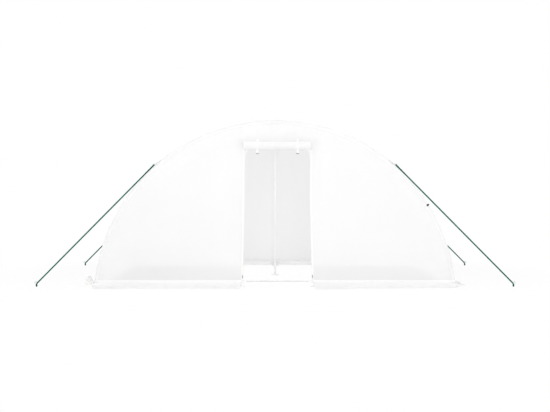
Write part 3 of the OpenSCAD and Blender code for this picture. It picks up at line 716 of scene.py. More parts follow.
bulge = ripples(roll_x, wound * 0.33, (0.31, 0.19, 0.12, 0.46), 101) * (1 - 0.75 * wound / roll_turns)
free = 1 - 0.8 * np.clip(pinch, 0, 1)
wind_r = (roll_skin - roll_pitch * wound) * (1 - pinch_in * pinch) + bulge_h * bulge * free
roll_grid = grid_of(roll_x, roll_y + wind_r * np.cos(wind_turn), roll_z + wind_r * np.sin(wind_turn))
lead = np.linspace(0.0, 1.0, 7)[:-1, None, None]
head_line = grid_of(roll_x[0], -edge_y - 0.0012, door_h + 0.003)
lead_grid = head_line[None] * (1 - lead) + roll_grid[:1] * lead
roll_grid = np.concatenate((lead_grid, roll_grid))
roll_steps = np.linalg.norm(np.diff(roll_grid, axis=0), axis=-1).mean(axis=1)
roll_run = np.concatenate(([0.0], np.cumsum(roll_steps)))
roll_flat = grid_of(roll_grid[..., 0], roll_run[:, None])
rolled_film = film_finish("rolled_film", grey(0.968), grey(0.975), 0.03, 0.22, 0.10)
rolled_door = film_piece("rolled_door", roll_grid, roll_flat, rolled_film, "film", "door_roll")

# Door ties: two white webbing straps, sewn to the wall over the doorway and looped round the roll. Both ends
# of a strap hang under the roll in a dark moulded buckle. Fine cross stitching holds the sewn end.
tie_t, tie_loop, tie_foot_z, tie_seam = 0.0017, 0.0556, 1.844, 0.011
buckle_bar_r, buckle_grip_r, buckle_grip = 0.0021, 0.0019, 0.012
sewn_low, sewn_high = roll_z + 0.058, roll_z + 0.089


def strip_mesh(path, across, width, thick):
    """Flat strap along a line of points, with its width along a fixed or changing direction."""
    path = np.asarray(path, dtype=float)
    across = np.broadcast_to(np.asarray(across, dtype=float), path.shape)
    ahead = np.gradient(path, axis=0)
    ahead /= np.linalg.norm(ahead, axis=1)[:, None]
    face = np.cross(ahead, across)
    face /= np.linalg.norm(face, axis=1)[:, None]
    soft = thick * 0.35
    half, deep = width / 2, thick / 2
    section = [
        (-half, -deep + soft), (-half + soft, -deep), (half - soft, -deep), (half, -deep + soft),
        (half, deep - soft), (half - soft, deep), (-half + soft, deep), (-half, deep - soft),
    ]
    mesh = loft(np.stack([path + a * across + f * face for a, f in section], axis=1))
    flat = grid_of(run_along(path)[:, None], np.array([a for a, _ in section]))
    lay_flat(mesh, flat)
    return edit_mesh(mesh, lambda shape: bmesh.ops.recalc_face_normals(shape, faces=shape.faces))


def webbing_finish(name, tone, shade, rib):
    """Woven strap: ribs across its length, broken by the weave, with painted shade in the hollows of the
    weave and a little grime.
    """
    finish, ink, place = start_finish(name)
    flat = ink.node("ShaderNodeUVMap", uv_map="film_uv")
    run, side = part_of(flat, "X"), part_of(flat, "Y")
    first = ink.sum("PINGPONG", run + side * 0.8, rib) / rib
    second = ink.sum("PINGPONG", run - side * 0.8, rib) / rib
    weave = ink.sum("MAXIMUM", first, second)
    grime = mottle(place, 60.0, 5.0)
    return end_finish(finish, ink, {
        # Painted shade: the hollows of the weave take the darker colour; the grime is a real mark at random.
        "Base Color": tint((1 - weave) * 0.6 + ramp(grime, 0.45, 0.75) * 0.3, tone, shade),
        "Roughness": 0.62 + grime * 0.2,
        "Sheen Weight": 0.15,
        "Normal": relief(weave + grime * 0.3, 0.0004, 0.7),
    })


def plastic_finish(name, tone, worn, grain):
    """Moulded plastic: fine spark-eroded grain, paler where it is handled."""
    finish, ink, place = start_finish(name)
    skin = mottle(place, grain, 3.0)
    rub = ramp(mottle(place, 85.0, 5.0), 0.5, 0.75)
    return end_finish(finish, ink, {
        "Base Color": tint(rub * 0.6, tone, worn),
        "Roughness": 0.42 + skin * 0.16 + rub * 0.12,
        "Normal": relief(skin, 0.00012, 0.5),
    })


def even_curve(lines, pitch):
    """Curve with points at an even pitch, from a mesh of lines."""
    curve = lines.node("GeometryNodeMeshToCurve", {"Mesh": lines})
    return curve.node("GeometryNodeResampleCurve", {"Curve": curve, "Length": pitch}, mode="LENGTH")


def row_growth(name, kind, sockets):
    """Tree that sets one small shape along each path of a mesh of lines, at an even pitch."""
    tree, feed = new_growth(name, {"Pitch": "Float", "Size": "Vector", "Material": "Material"})
    spots = even_curve(feed["Geometry"], feed["Pitch"])
    shape = spots.node(kind, sockets)
    tangent = spots.node("GeometryNodeInputTangent")
    turn = spots.node("FunctionNodeAlignRotationToVector", {"Vector": tangent}, axis="X")
    close_growth(feed, spots.node("GeometryNodeInstanceOnPoints", {
        "Points": spots, "Instance": shape, "Rotation": turn, "Scale": feed["Size"],
    }))
    return tree


def line_mesh(lines):
    """Mesh of bare lines, one for each list of points."""
    points, edges = [], []
    for line in lines:
        first = len(points)
        points += [tuple(float(c) for c in point) for point in line]
        edges += [(first + i, first + i + 1) for i in range(len(line) - 1)]
    return new_mesh("lines", points, [], edges)


white_webbing = webbing_finish("white_webbing", grey(0.965), grey(0.87), 0.0016)
white_thread = webbing_finish("white_thread", (0.86, 0.86, 0.85, 1.0), (0.66, 0.66, 0.64, 1.0), 0.0008)
dark_plastic = plastic_finish("dark_plastic", (0.022, 0.022, 0.023, 1.0), (0.055, 0.055, 0.056, 1.0), 900.0)
stitch_tree = row_growth("stitch_row", "GeometryNodeMeshIcoSphere", {"Radius": 0.5, "Subdivisions": 2})
stitch_size, stitch_pitch = (0.0034, 0.0011, 0.0011), 0.0041


def sew(name, seams, size=stitch_size, pitch=stitch_pitch):
    """Stitches of white thread along each seam, as one piece."""
    values = {"Pitch": pitch, "Size": Vector(size)}
    grow_piece(name, line_mesh(seams), stitch_tree, values, white_thread, "webbing")


def crossed_box(low, high):
    """Seams of a box between two corners, and of the cross in it."""
    box = [low, (high[0], low[1]), high, (low[0], high[1]), low]
    return [box, [box[0], box[2]], [box[1], box[3]]]


def loop_arc(start, stop):
    """Points of a tie round the roll between two angles, from the wall side over the top."""
    turns = np.radians(np.linspace(start, stop, 30))
    return [(roll_y + tie_loop * math.cos(t), roll_z + tie_loop * math.sin(t)) for t in turns]


tie_fall, tie_part = np.linspace(1.892, tie_foot_z, 10), 0.0012
strap_wall_y = -edge_y - 0.0046
front_run = [(strap_wall_y - tie_t, z) for z in np.linspace(sewn_high, sewn_low, 5)]
front_run += loop_arc(62.0, 262.0) + [(roll_y - tie_part, z) for z in tie_fall]
back_run = [(strap_wall_y, z) for z in np.linspace(sewn_high - 0.002, sewn_low - 0.012, 5)]
back_run += loop_arc(28.0, -82.0) + [(roll_y + tie_part, z) for z in tie_fall]
tie_meshes, buckle_meshes, tie_seams = [], [], []
for place in tie_places:
    for run in (front_run, back_run):
        strap = [(place, y, z) for y, z in run]
        tie_meshes.append(strip_mesh(strap, (1.0, 0.0, 0.0), tie_w, tie_t))
    for seam in crossed_box((place - tie_seam, sewn_low + 0.006), (place + tie_seam, sewn_high - 0.004)):
        tie_seams.append([(x, strap_wall_y - tie_t * 1.5, z) for x, z in seam])
    wide, deep, low, high, bend = 0.0172, 0.0022, 1.8405, 1.8520, 0.004
    corners = [(wide, low, 270), (wide, high, 0), (-wide, high, 90), (-wide, low, 180)]
    ring = []
    for x, z, first in corners:
        for t in np.radians(np.linspace(first, first + 90, 6)):
            cx, cz = x - math.copysign(bend, x), z + (bend if z == low else -bend)
            ring.append((place + cx + bend * math.cos(t), roll_y, cz + bend * math.sin(t)))
    buckle_meshes.append(tube_mesh(ring, deep, 12, closed=True))
    for off in (-0.0022, 0.0030):
        bar = [(place + x, roll_y + off, (low + high) / 2 + off * 0.4) for x in np.linspace(-wide, wide, 7)]
        buckle_meshes.append(tube_mesh(bar, buckle_bar_r, 10))
    grip_line = np.linspace(-buckle_grip, buckle_grip, 9)
    grip = [(place + x, roll_y - 0.0036, low - 0.0005) for x in grip_line]
    buckle_meshes.append(tube_mesh(grip, buckle_grip_r, 10))
set_piece("door_ties_webbing", tie_meshes, white_webbing, "webbing", "door_ties")
buckle_plastic = plastic_finish("buckle_plastic", (0.20, 0.20, 0.205, 1.0), (0.30, 0.30, 0.305, 1.0), 900.0)
set_piece("door_tie_buckles_moulded", buckle_meshes, buckle_plastic, "black_plastic", "door_tie_buckles")
sew("door_tie_stitches", tie_seams)

# Zips: white woven tapes sewn to both edges of the doorway, with a row of moulded teeth on their free edges.
# The grey sliders wait at the foot, their dark pulls hanging. The door's own tapes lead up into the roll.
zip_foot, zip_top, slider_z, zip_t = film_bottom + 0.005, door_h - 0.015, 0.118, 0.0011
zip_y, climb_z, door_tape_w = -edge_y - 0.0022, 1.800, 0.016
tooth_pitch, tooth_size, tooth_off = 0.0036, Vector((0.0022, 0.0030, 0.0042)), 0.0006
zip_seam_offs = (0.004, -0.0085)
tooth_tree = row_growth("tooth_row", "GeometryNodeMeshCube", {"Size": (1.0, 1.0, 1.0)})
tooth_plastic = plastic_finish("tooth_plastic", (0.82, 0.82, 0.81, 1.0), (0.70, 0.70, 0.69, 1.0), 700.0)
tape_meshes, tooth_lines, zip_seams = [], [], []
for side in (-1, 1):
    heights = np.linspace(zip_foot, zip_top, 90)
    middle = door_edge(side, heights) + side * zip_w / 2
    sway = 0.0004 * np.sin(heights * 23.0)
    tape = grid_of(middle, zip_y + sway, heights)
    tape_meshes.append(strip_mesh(tape, (1.0, 0.0, 0.0), zip_w, zip_t))
    tooth_lines.append(tape - np.array([side * (zip_w / 2 + tooth_off), 0.0, 0.0]))
    for off in zip_seam_offs:
        zip_seams.append(tape + np.array([side * off, -zip_t * 0.55, 0.0]))
    rise = np.linspace(0.0, 1.0, 26)
    climb = grid_of(
        door_edge(side, climb_z + 0.1 * rise) - side * (0.004 + 0.030 * rise ** 2),
        zip_y - 0.004 - 0.044 * rise ** 2.2, climb_z + 0.104 * rise,
    )
    tape_meshes.append(strip_mesh(climb, (1.0, 0.0, 0.0), door_tape_w, zip_t))
    tooth_lines.append(climb + np.array([side * (door_tape_w / 2 + tooth_off), 0.0, 0.0]))
zip_webbing = webbing_finish("zip_webbing", grey(0.90), grey(0.82), 0.0016)
set_piece("door_zips_tape", tape_meshes, zip_webbing, "webbing", "door_zips")
tooth_values = {"Pitch": tooth_pitch, "Size": tooth_size}
grow_piece("zip_teeth", line_mesh(tooth_lines), tooth_tree, tooth_values, tooth_plastic, "webbing")
sew("zip_stitches", zip_seams, (0.0042, 0.0011, 0.0009), 0.0052)


def pierced_plate(outline, hole, thick, to_place):
    """Plate with a hole: two matched rings of points, raised by a thickness and put in place."""
    count = len(outline)
    points, faces = [], []
    for level in (0.0, thick):
        points += [(*point, level) for point in outline] + [(*point, level) for point in hole]
    for i in range(count):
        j = (i + 1) % count
        a, b, c, d = i, j, count + j, count + i
        top = 2 * count
        faces += [(b, a, d, c), (a + top, b + top, c + top, d + top)]
        faces += [(a, b, b + top, a + top), (c, d, d + top, c + top)]
    mesh = new_mesh("plate", points, faces)
    mesh.transform(to_place)

    def soften(shape):
        bmesh.ops.recalc_face_normals(shape, faces=shape.faces)
        rims = [edge for edge in shape.edges if edge.is_manifold and edge.calc_face_angle() > 0.9]
        bmesh.ops.bevel(shape, geom=rims, offset=thick * 0.18, segments=2, profile=0.6, affect="EDGES")

    return edit_mesh(mesh, soften)


oval = np.radians(np.linspace(-90.0, 270.0, 28, endpoint=False))


def stadium(width, low, high):
    """Outline with round ends from low to high, counted from its lowest point."""
    reach, outline = width / 2, []
    for t in oval:
        middle = low + reach if math.sin(t) < 0 else high - reach
        outline.append((reach * math.cos(t), middle + reach * math.sin(t)))
    return outline


pull_l, body_low, body_high = 0.031, 0.017, 0.046
pull_w, pull_t, body_w, body_t, plate_offs = 0.0085, 0.0022, 0.0140, 0.0019, (0.0022, -0.0040)
slider_in, bridge_r, bridge_rise, bridge_half = 0.0035, 0.0016, 0.0042, 0.011
body_mid = (body_low + body_high) / 2
pull_outline, body_outline = stadium(pull_w, 0.0, pull_l), stadium(body_w, body_low, body_high)
pull_hole = [(0.0021 * math.cos(t), 0.007 + 0.0034 * math.sin(t)) for t in oval]
slot = [(0.0012 * math.cos(t), body_mid + 0.003 * math.sin(t)) for t in oval]
upright = Matrix.Rotation(math.radians(90), 4, "X")
pull_meshes, body_meshes = [], []
for side, twist, pull_off in ((-1, 0.0, 0.0072), (1, 87.0, 0.0094)):
    x = float(door_edge(side, slider_z)) + side * slider_in
    to_wall = Matrix.Translation((x, 0.0, slider_z)) @ upright
    pull = Matrix.Translation((x, zip_y - pull_off, slider_z))
    pull = pull @ Matrix.Rotation(math.radians(twist), 4, "Z") @ upright
    pull_meshes.append(pierced_plate(pull_outline, pull_hole, pull_t, pull))
    for off in plate_offs:
        plate = Matrix.Translation((0.0, zip_y - off, 0.0)) @ to_wall
        body_meshes.append(pierced_plate(body_outline, slot, body_t, plate))
    arch = [
        (x, zip_y - bridge_rise * (1 + math.sin(t)), slider_z + body_mid - bridge_half * math.cos(t))
        for t in np.radians(np.linspace(0, 180, 14))
    ]
    body_meshes.append(tube_mesh(arch, bridge_r, 10))
set_piece("zip_slider_pulls", pull_meshes, dark_plastic, "black_plastic", "zip_sliders")
grey_plastic = plastic_finish("grey_plastic", grey(0.52), grey(0.66), 900.0)
set_piece("zip_slider_bodies", body_meshes, grey_plastic, "black_plastic", "zip_sliders")

# Threshold strip: a grey rubber strip with a ribbed face, glued along the front of the threshold bar. Its
# grey is painted shade, standing in for the shade under the bar. It ends a little short of the zip tapes.
edging_r, edging_t, edging_gap = 0.0153, 0.0016, 0.012
edging_turns = np.radians(np.linspace(150.0, 208.0, 12))
edging_ends = (float(door_edge(-1, rail_z)) + edging_gap, float(door_edge(1, rail_z)) - edging_gap)


def thick_mesh(mesh, thick):
    """Gives a sheet a thickness, inwards from its face."""

    def thicken(shape):
        bmesh.ops.solidify(shape, geom=shape.faces[:], thickness=thick)
        bmesh.ops.recalc_face_normals(shape, faces=shape.faces)

    return edit_mesh(mesh, thicken)


def rubber_finish(name, tone, dusty):
    """Moulded rubber: fine ribs along its length, dull, with dust between the ribs."""
    finish, ink, place = start_finish(name)
    rib = ink.sum("PINGPONG", part_of(place, "Z"), 0.0010) / 0.0010
    dust = mottle(place, 38.0, 5.0)
    return end_finish(finish, ink, {
        "Base Color": tint((1 - rib) * 0.5 + ramp(dust, 0.4, 0.7) * 0.5, tone, dusty),
        "Roughness": 0.72 + dust * 0.15,
        "Specular IOR Level": 0.3,
        "Normal": relief(rib + dust * 0.2, 0.0004, 0.6),
    })


edging_x = np.linspace(*edging_ends, 60)[:, None]
edging_radius = edging_r + edging_t * np.sin(np.linspace(0.12, np.pi - 0.12, 12)) ** 0.5
edging_grid = grid_of(
    edging_x, -end_y + edging_radius * np.cos(edging_turns), rail_z + edging_radius * np.sin(edging_turns)
)
edging_flat = grid_of(edging_x, edging_r * edging_turns)
edging_mesh = thick_mesh(film_mesh("threshold_shade_strip", edging_grid, edging_flat), edging_t)
# Painted shade: the grey of this strip stands in for the shade under the threshold bar.
shade_strip_rubber = rubber_finish("shade_strip_rubber", grey(0.66), (0.76, 0.76, 0.75, 1.0))
set_piece("threshold_shade_strip", edging_mesh, shade_strip_rubber, "black_plastic")

# Cover toggle: a turned dark knob, pressed through an eyelet in the front hem on the right. A round button
# of the same plastic clips on to it at the front and holds the hem between them.
toggle_turn, button_in = 32.4, 0.0135
button_section = [
    (0.0, 0.0), (0.0138, 0.0), (0.0145, 0.0006), (0.0145, 0.0020), (0.0134, 0.0031), (0.0096, 0.0038),
    (0.0074, 0.0032), (0.0, 0.0028),
]
toggle_section = [
    (0.0, 0.0), (0.0132, 0.0), (0.0136, 0.0009), (0.0136, 0.0030), (0.0128, 0.0041), (0.0104, 0.0048),
    (0.0094, 0.0062), (0.0092, 0.0088), (0.0096, 0.0112), (0.0092, 0.0128), (0.0074, 0.0137), (0.0, 0.0140),
]


def turned_mesh(section, count, to_place):
    """Solid of revolution from radii and heights, starting and ending on its axis, put in place."""
    turns = np.arange(count) * 2 * np.pi / count
    points = [(0.0, 0.0, section[0][1])]
    for radius, height in section[1:-1]:
        points += [(radius * math.cos(t), radius * math.sin(t), height) for t in turns]
    points.append((0.0, 0.0, section[-1][1]))
    faces, rings = [], len(section) - 2
    for i in range(count):
        j = (i + 1) % count
        faces.append((0, 1 + j, 1 + i))
        for ring in range(rings - 1):
            low, high = 1 + ring * count, 1 + (ring + 1) * count
            faces.append((low + i, low + j, high + j, high + i))
        last = 1 + (rings - 1) * count
        faces.append((last + i, last + j, len(points) - 1))
    mesh = new_mesh("turned", points, faces)
    mesh.shade_smooth()
    mesh.transform(to_place)
    return mesh


outward = Matrix.Rotation(math.radians(90 - toggle_turn), 4, "Y")
knob_place = Matrix.Translation(on_arch(toggle_turn, film_out + lay, -end_y)) @ outward
button_place = Matrix.Translation(on_arch(toggle_turn, film_r - button_in, -hem_y - lay)) @ upright
toggle_meshes = [turned_mesh(toggle_section, 40, knob_place), turned_mesh(button_section, 40, button_place)]
set_piece("cover_toggle_knob", toggle_meshes, dark_plastic, "black_plastic", "cover_toggle")

# Rope tabs: a patch of doubled film welded over each end hoop, with a loop of grey webbing sewn across it.
# Both layers of the strap lie on the upper half of the patch, under one box of stitches.
guy_turn, patch_w, patch_l, patch_round = 50.2, 0.070, 0.090, 0.014
loop_l, loop_tilt, loop_w, loop_t, loop_root = 0.075, math.radians(27.6), 0.020, 0.0018, 0.018
bight_r, bight_off, root_over, root_under = 0.0118, 0.0048, 0.0026, 0.0007
sewn_l, sewn_edge, sewn_in, seam_l, seam_w = 0.040, 0.0078, 0.004, 0.040, 0.030
patch_t, patch_lift, seam_lift = 0.0012, 0.0016, 0.0031
lower_lift, upper_lift, box_lift = 0.0037, 0.0056, 0.0068
tab_x, _, tab_z = on_arch(guy_turn, film_out, 0.0)


def patch_grid(half_l, half_w, radius):
    """Points over a rounded oblong: distances up the arch and along the tunnel, and the radius."""
    s = np.linspace(-1.0, 1.0, 25)[:, None]
    t = np.linspace(-1.0, 1.0, 21)[None, :]
    over = np.maximum(np.abs(s) * half_l - (half_l - patch_round), 0.0)
    wide = half_w - patch_round + np.sqrt(np.maximum(patch_round ** 2 - over ** 2, 0.0))
    up, side = np.broadcast_arrays(s * half_l, t * wide)
    rim = ease(np.minimum(half_l - np.abs(up), wide - np.abs(side)), -0.0005, 0.004)
    return up, side, radius + 0.0011 * rim


def smooth_line(points, step):
    """Even points along a smooth curve through the given ones."""
    points = np.asarray(points, dtype=float)
    ends = np.vstack((2 * points[0] - points[1], points, 2 * points[-1] - points[-2]))
    fine = []
    for a, b, c, d in zip(ends[:-3], ends[1:-2], ends[2:-1], ends[3:]):
        for t in np.linspace(0.0, 1.0, 12, endpoint=False):
            fine.append(0.5 * (
                2 * b + (c - a) * t + (2 * a - 5 * b + 4 * c - d) * t ** 2 + (3 * b - a - 3 * c + d) * t ** 3
            ))
    fine = np.array(fine + [points[-1]])
    run = run_along(fine)
    even = np.linspace(0.0, run[-1], max(int(run[-1] / step), 2))
    return np.stack([np.interp(even, run, fine[:, k]) for k in range(3)], axis=-1)


def arch_spot(side, y, up, along, radius):
    """Point on the cover at a distance up the arch and along the tunnel from a tab."""
    turn = math.radians(guy_turn) + up / film_out
    return grid_of(side * radius * np.cos(turn), y + along, arc_z + radius * np.sin(turn))


patch_meshes, loop_meshes, tab_seams = [], [], []
for side in (-1, 1):
    for y in (-end_y, end_y):
        up, along, radius = patch_grid(patch_l / 2, patch_w / 2, film_out + patch_lift)
        grid, flat = arch_spot(side, y, up, along, radius), grid_of(up, along)
        if side < 0:
            grid, flat = grid[:, ::-1], flat[:, ::-1]
        patch_meshes.append(thick_mesh(film_mesh("patch", grid, flat), patch_t))
        out = np.array((side * math.cos(loop_tilt), 0.0, -math.sin(loop_tilt)))
        over = np.array((side * math.sin(loop_tilt), 0.0, math.cos(loop_tilt)))
        tab = np.array((side * tab_x, y, tab_z))
        bight = tab + out * (loop_l + bight_off)
        strap = list(arch_spot(side, y, np.linspace(sewn_l, sewn_in, 8), 0.0, film_out + upper_lift))
        strap += [tab + out * loop_root + over * root_over]
        for t in np.radians(np.arange(90, -91, -15)):
            strap.append(bight + bight_r * (math.sin(t) * over + math.cos(t) * out))
        strap += [tab + out * loop_root + over * root_under]
        back = np.linspace(sewn_in, sewn_l - sewn_in, 8)
        strap += list(arch_spot(side, y, back, 0.0, film_out + lower_lift))
        loop_meshes.append(strip_mesh(smooth_line(strap, 0.0015), (0.0, 1.0, 0.0), loop_w, loop_t))
        for seam in crossed_box((0.006, -sewn_edge), (sewn_l - 0.003, sewn_edge)):
            tab_seams.append([arch_spot(side, y, u, v, film_out + box_lift) for u, v in seam])
        rect = [(u * seam_l, v * seam_w) for u, v in ((-1, -1), (1, -1), (1, 1), (-1, 1), (-1, -1))]
        outline = []
        for (u0, v0), (u1, v1) in zip(rect[:-1], rect[1:]):
            for k in np.arange(9) / 8:
                u, v = u0 + (u1 - u0) * k, v0 + (v1 - v0) * k
                outline.append(arch_spot(side, y, u, v, film_out + seam_lift))
        tab_seams.append(outline)
grey_webbing = webbing_finish("grey_webbing", (0.38, 0.41, 0.39, 1.0), (0.24, 0.27, 0.25, 1.0), 0.0016)
set_piece("rope_tab_patches", patch_meshes, hem_film, "film", "rope_tabs")
set_piece("rope_tab_loops", loop_meshes, grey_webbing, "webbing", "rope_tabs")
sew("rope_tab_stitches", tab_seams)

# Guy ropes: dark green rope laid up from three strands, pulled taut from the tabs to the pegs.
# The upper end is turned back through the tab's loop and seized with two bands of cord. The lower end is led
# down the front of its peg and lashed to it under the hook.
rope_r, strand_r, lay_len, rope_step = 0.0106, 0.0057, 0.066, 0.0038
eye_r, tail_off, cord_r = 0.0208, 0.0212, 0.0012
rope_tilt = math.radians(45.4)
eye_x = tab_x + loop_l * math.cos(loop_tilt) + eye_r * math.cos(rope_tilt)
eye_z = tab_z - loop_l * math.sin(loop_tilt) - eye_r * math.sin(rope_tilt)
peg_r, peg_eye_z, peg_lean = 0.004, 0.045, 0.003
peg_x = eye_x + (eye_z - peg_eye_z) / math.tan(rope_tilt) + 0.0113


def rope_finish(name, tone, shade, pale):
    """Laid rope: fibres that slant along each strand, paler where they are rubbed, with painted shade in the
    hollows between fibres.
    """
    finish, ink, place = start_finish(name)
    run, ring = (
        ink.node("ShaderNodeAttribute", None, "Fac", attribute_name=part) for part in ("along", "round")
    )
    fibre = ink.sum("PINGPONG", run * 260.0 + ring * 9.0, 0.5) * 2.0
    fuzz = mottle(place, 420.0, 4.0)
    rub = ramp(mottle(place, 24.0, 5.0), 0.48, 0.72)
    # Painted shade: the low parts of the fibre relief take the shade colour; the fuzz is at random.
    body = tint(fibre * 0.65 + fuzz * 0.3, shade, tone)
    return end_finish(finish, ink, {
        "Base Color": tint(rub * 0.35, body, pale),
        "Roughness": 0.66 + fuzz * 0.25,
        "Specular IOR Level": 0.15,
        "Sheen Weight": 0.03,
        "Normal": relief(fibre + fuzz * 0.5, 0.0006, 0.8),
    })


rope_tree, feed = new_growth("laid_rope", {
    "Strand Offset": "Float", "Strand Radius": "Float", "Lay Length": "Float", "Step": "Float",
    "Material": "Material",
})
line = even_curve(feed["Geometry"], feed["Step"])
run = line.node("GeometryNodeSplineParameter", None, "Length")
line = line.node(
    "GeometryNodeStoreNamedAttribute", {"Geometry": line, "Name": "along", "Value": run},
    data_type="FLOAT", domain="POINT",
)
normal, tangent = line.node("GeometryNodeInputNormal"), line.node("GeometryNodeInputTangent")
binormal = line.node("ShaderNodeVectorMath", {0: tangent, 1: normal}, operation="CROSS_PRODUCT")
ring = line.node("GeometryNodeCurvePrimitiveCircle", {"Resolution": 9, "Radius": feed["Strand Radius"]})
turned = line.node("GeometryNodeSplineParameter", None, "Factor")
ring = line.node(
    "GeometryNodeStoreNamedAttribute", {"Geometry": ring, "Name": "round", "Value": turned},
    data_type="FLOAT", domain="POINT",
)
strands = []
for strand in range(3):
    turn = run / feed["Lay Length"] * (2 * math.pi) + strand * 2 * math.pi / 3
    sideways, upwards = (
        line.node("ShaderNodeVectorMath", {
            0: way, "Scale": line.sum(wave, turn) * feed["Strand Offset"],
        }, operation="SCALE") for way, wave in ((normal, "COSINE"), (binormal, "SINE"))
    )
    offset = line.node("ShaderNodeVectorMath", {0: sideways, 1: upwards}, operation="ADD")
    laid = line.node("GeometryNodeSetPosition", {"Geometry": line, "Offset": offset})
    strands.append(line.node("GeometryNodeCurveToMesh", {
        "Curve": laid, "Profile Curve": ring, "Fill Caps": True,
    }))
close_growth(feed, line.node("GeometryNodeJoinGeometry", {"Geometry": strands}))


def cord_turns(middle, way, first, second, start, count):
    """Rod of fine cord wound close round a rope: an oval of two half widths, from a start along the way."""
    pitch, path = 1.95 * cord_r, []
    for n in np.linspace(0.0, count, int(count * 22)):
        turn = 2 * math.pi * n
        path.append(middle + way * (start + pitch * n) + first * math.cos(turn) + second * math.sin(turn))
    return tube_mesh(path, cord_r, 6)


plain_from, line_step = 0.2, 0.002
tail_steps, neck_steps = (0.165, 0.135, 0.105, 0.080, 0.058), (0.058, 0.080, 0.105)
foot_steps, peg_steps = (0.100, 0.060, 0.030, 0.012), (0.034, 0.022, 0.012, 0.003)
band_starts, lashing_start, band_turns, lashing_turns = (0.075, 0.130), 0.014, 8, 6
green_rope = rope_finish(
    "green_rope", (0.003, 0.190, 0.110, 1.0), (0.001, 0.056, 0.032, 1.0), (0.012, 0.280, 0.165, 1.0)
)
level = np.array((0.0, 1.0, 0.0))
for name, y in (("front", -end_y), ("rear", end_y)):
    ropes, bands = [], []
    for side in (-1, 1):
        eye = np.array((side * eye_x, y, eye_z))
        foot = np.array((side * (peg_x - peg_r), y - peg_r - rope_r, peg_eye_z))
        taut = float(np.linalg.norm(foot - eye))
        down = (foot - eye) / taut
        face = np.cross(down, level)
        line = [eye + down * s + level * tail_off for s in tail_steps]
        for t in np.radians(np.arange(60, 301, 20)):
            line.append(eye + eye_r * (math.cos(t) * down + math.sin(t) * level))
        line += [eye + down * s for s in neck_steps]
        line += [eye + down * s for s in np.linspace(plain_from, taut - plain_from, 12)]
        line += [foot - down * s for s in foot_steps]
        line += [(foot[0] + side * peg_lean, foot[1], z) for z in peg_steps]
        ropes.append(smooth_line(line, line_step))
        middle, wide, thin = eye + level * tail_off / 2, rope_r + tail_off / 2 + cord_r, rope_r + cord_r
        for start in band_starts:
            bands.append(cord_turns(middle, down, level * wide, face * thin, start, band_turns))
        middle = np.array((foot[0] + side * peg_lean, y - rope_r, 0.0))
        wide = peg_r + rope_r + cord_r
        rise, across = np.array(upward), np.array((thin, 0.0, 0.0))
        bands.append(cord_turns(middle, rise, level * wide, across, lashing_start, lashing_turns))
    rope = grow_piece(name + "_guy_ropes_laid", line_mesh(ropes), rope_tree, {
        "Strand Offset": rope_r - strand_r, "Strand Radius": strand_r, "Lay Length": lay_len,
        "Step": rope_step,
    }, green_rope, "rope", name + "_guy_ropes")
    rope.data.shade_smooth()
    set_piece(name + "_rope_seizings", bands, green_rope, "rope")

# Pegs: round steel rod, hooked at the top, hot-dip galvanised and pushed into the ground.
peg_zinc = zinc_finish("peg_zinc", (0.66, 0.67, 0.68, 1.0), (0.44, 0.45, 0.46, 1.0), 0.34)
dress_nodes(("ground_pegs",), peg_zinc)

# Floor and light: a white studio floor that glows a little like a light table and keeps a faint shadow round
# the tunnel. Under the cover, where it is seen through the film, it is painted a darker grey as shade. White
# all round it, and soft lamps.
floor_size, shadow_share, inside_share, shadow_reach = 400.0, 0.26, 0.05, (2.8, 5.0)
edge_in, edge_soft, end_soft, lamp_aim_z, world_light = 0.02, 0.08, 0.1, 0.9, 0.50


def seen_rays(ink):
    """1 where the camera sees a surface, also in a reflection or through glass."""
    rays = [ink.node("ShaderNodeLightPath", None, name) for name in (
        "Is Camera Ray", "Is Glossy Ray", "Is Transmission Ray",
    )]
    return ink.sum("MAXIMUM", rays[0], ink.sum("MAXIMUM", rays[1], rays[2]))


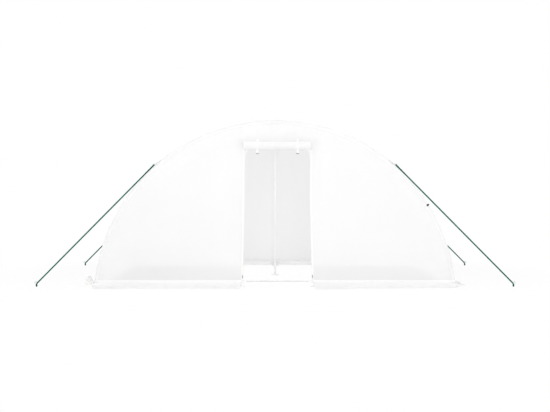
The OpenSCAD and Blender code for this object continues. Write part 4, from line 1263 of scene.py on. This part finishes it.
floor_finish, ink, place = start_finish("studio_floor")
seen = seen_rays(ink)
behind_film = ink.sum("GREATER_THAN", ink.node("ShaderNodeLightPath", None, "Transparent Depth"), 0.5)
off_x, off_y = (ink.sum("ABSOLUTE", part_of(place, axis)) for axis in "XY")
away = ink.node("ShaderNodeVectorMath", {0: place}, "Value", operation="LENGTH")
near = ramp(away, shadow_reach[0], shadow_reach[1], 1.0, 0.0)
side_edge = tunnel_w / 2 - edge_in
covered = ramp(off_x, side_edge, side_edge - edge_soft) * ramp(off_y, edge_y, edge_y - end_soft)
shaded = covered * behind_film
open_glow = tint(seen, grey(0.30), grey(0.145))
glow = tint(covered, open_glow, grey(0.115))
pale = ink.node("ShaderNodeAddShader", {
    0: ink.node("ShaderNodeBsdfDiffuse", {"Color": grey(0.86)}),
    1: ink.node("ShaderNodeEmission", {"Color": glow, "Strength": 1.0}),
})
shadow = near * (shadow_share + covered * (inside_share - shadow_share))
# Painted shade: seen through the film, the floor under the cover is a darker grey that stands in for its
# shade.
painted_cover_shade = ink.node("ShaderNodeBsdfDiffuse", {"Color": grey(0.46)})
white = ink.node("ShaderNodeEmission", {"Color": grey(1.0), "Strength": 1.0})
lit = ink.node("ShaderNodeMixShader", {0: seen * (1 - shadow), 1: pale, 2: white})
ink.node("ShaderNodeOutputMaterial", {
    "Surface": ink.node("ShaderNodeMixShader", {0: seen * shaded, 1: lit, 2: painted_cover_shade}),
})
half, under = floor_size / 2, -0.0006
floor_corners = [(x * half, y * half, under) for x, y in ((-1, -1), (1, -1), (1, 1), (-1, 1))]
floor_mesh = new_mesh("studio_floor", floor_corners, [(0, 1, 2, 3)])
floor_mesh.materials.append(floor_finish)
add_object("studio_floor", floor_mesh)

world = bpy.data.worlds.new("studio_world")
world.use_nodes = True
world.node_tree.nodes.clear()
ink = Wire(world.node_tree)
seen = seen_rays(ink)
light = ink.node("ShaderNodeBackground", {"Color": grey(1.0), "Strength": world_light})
white = ink.node("ShaderNodeBackground", {"Color": grey(1.0), "Strength": 1.0})
ink.node("ShaderNodeOutputWorld", {
    "Surface": ink.node("ShaderNodeMixShader", {0: seen, 1: light, 2: white}),
})
scene.world = world
for name, spot, size, power in (
    ("left_softbox", (-7.0, -9.0, 8.0), 5.0, 208.0), ("right_softbox", (8.0, -7.0, 6.0), 5.0, 110.0),
    ("front_softbox", (0.4, -15.0, 2.8), 4.0, 385.0), ("rear_softbox", (3.0, 9.0, 9.0), 6.0, 30.0),
    ("top_softbox", (0.0, -1.5, 12.0), 9.0, 480.0),
):
    lamp_data = bpy.data.lights.new(name, "AREA")
    lamp_data.size = size
    lamp_data.energy = power
    lamp = add_object(name, lamp_data)
    lamp.location = spot
    aim = Vector((0.0, 0.0, lamp_aim_z)) - Vector(spot)
    lamp.rotation_euler = aim.to_track_quat("-Z", "Y").to_euler()

scene.view_settings.view_transform = "Standard"
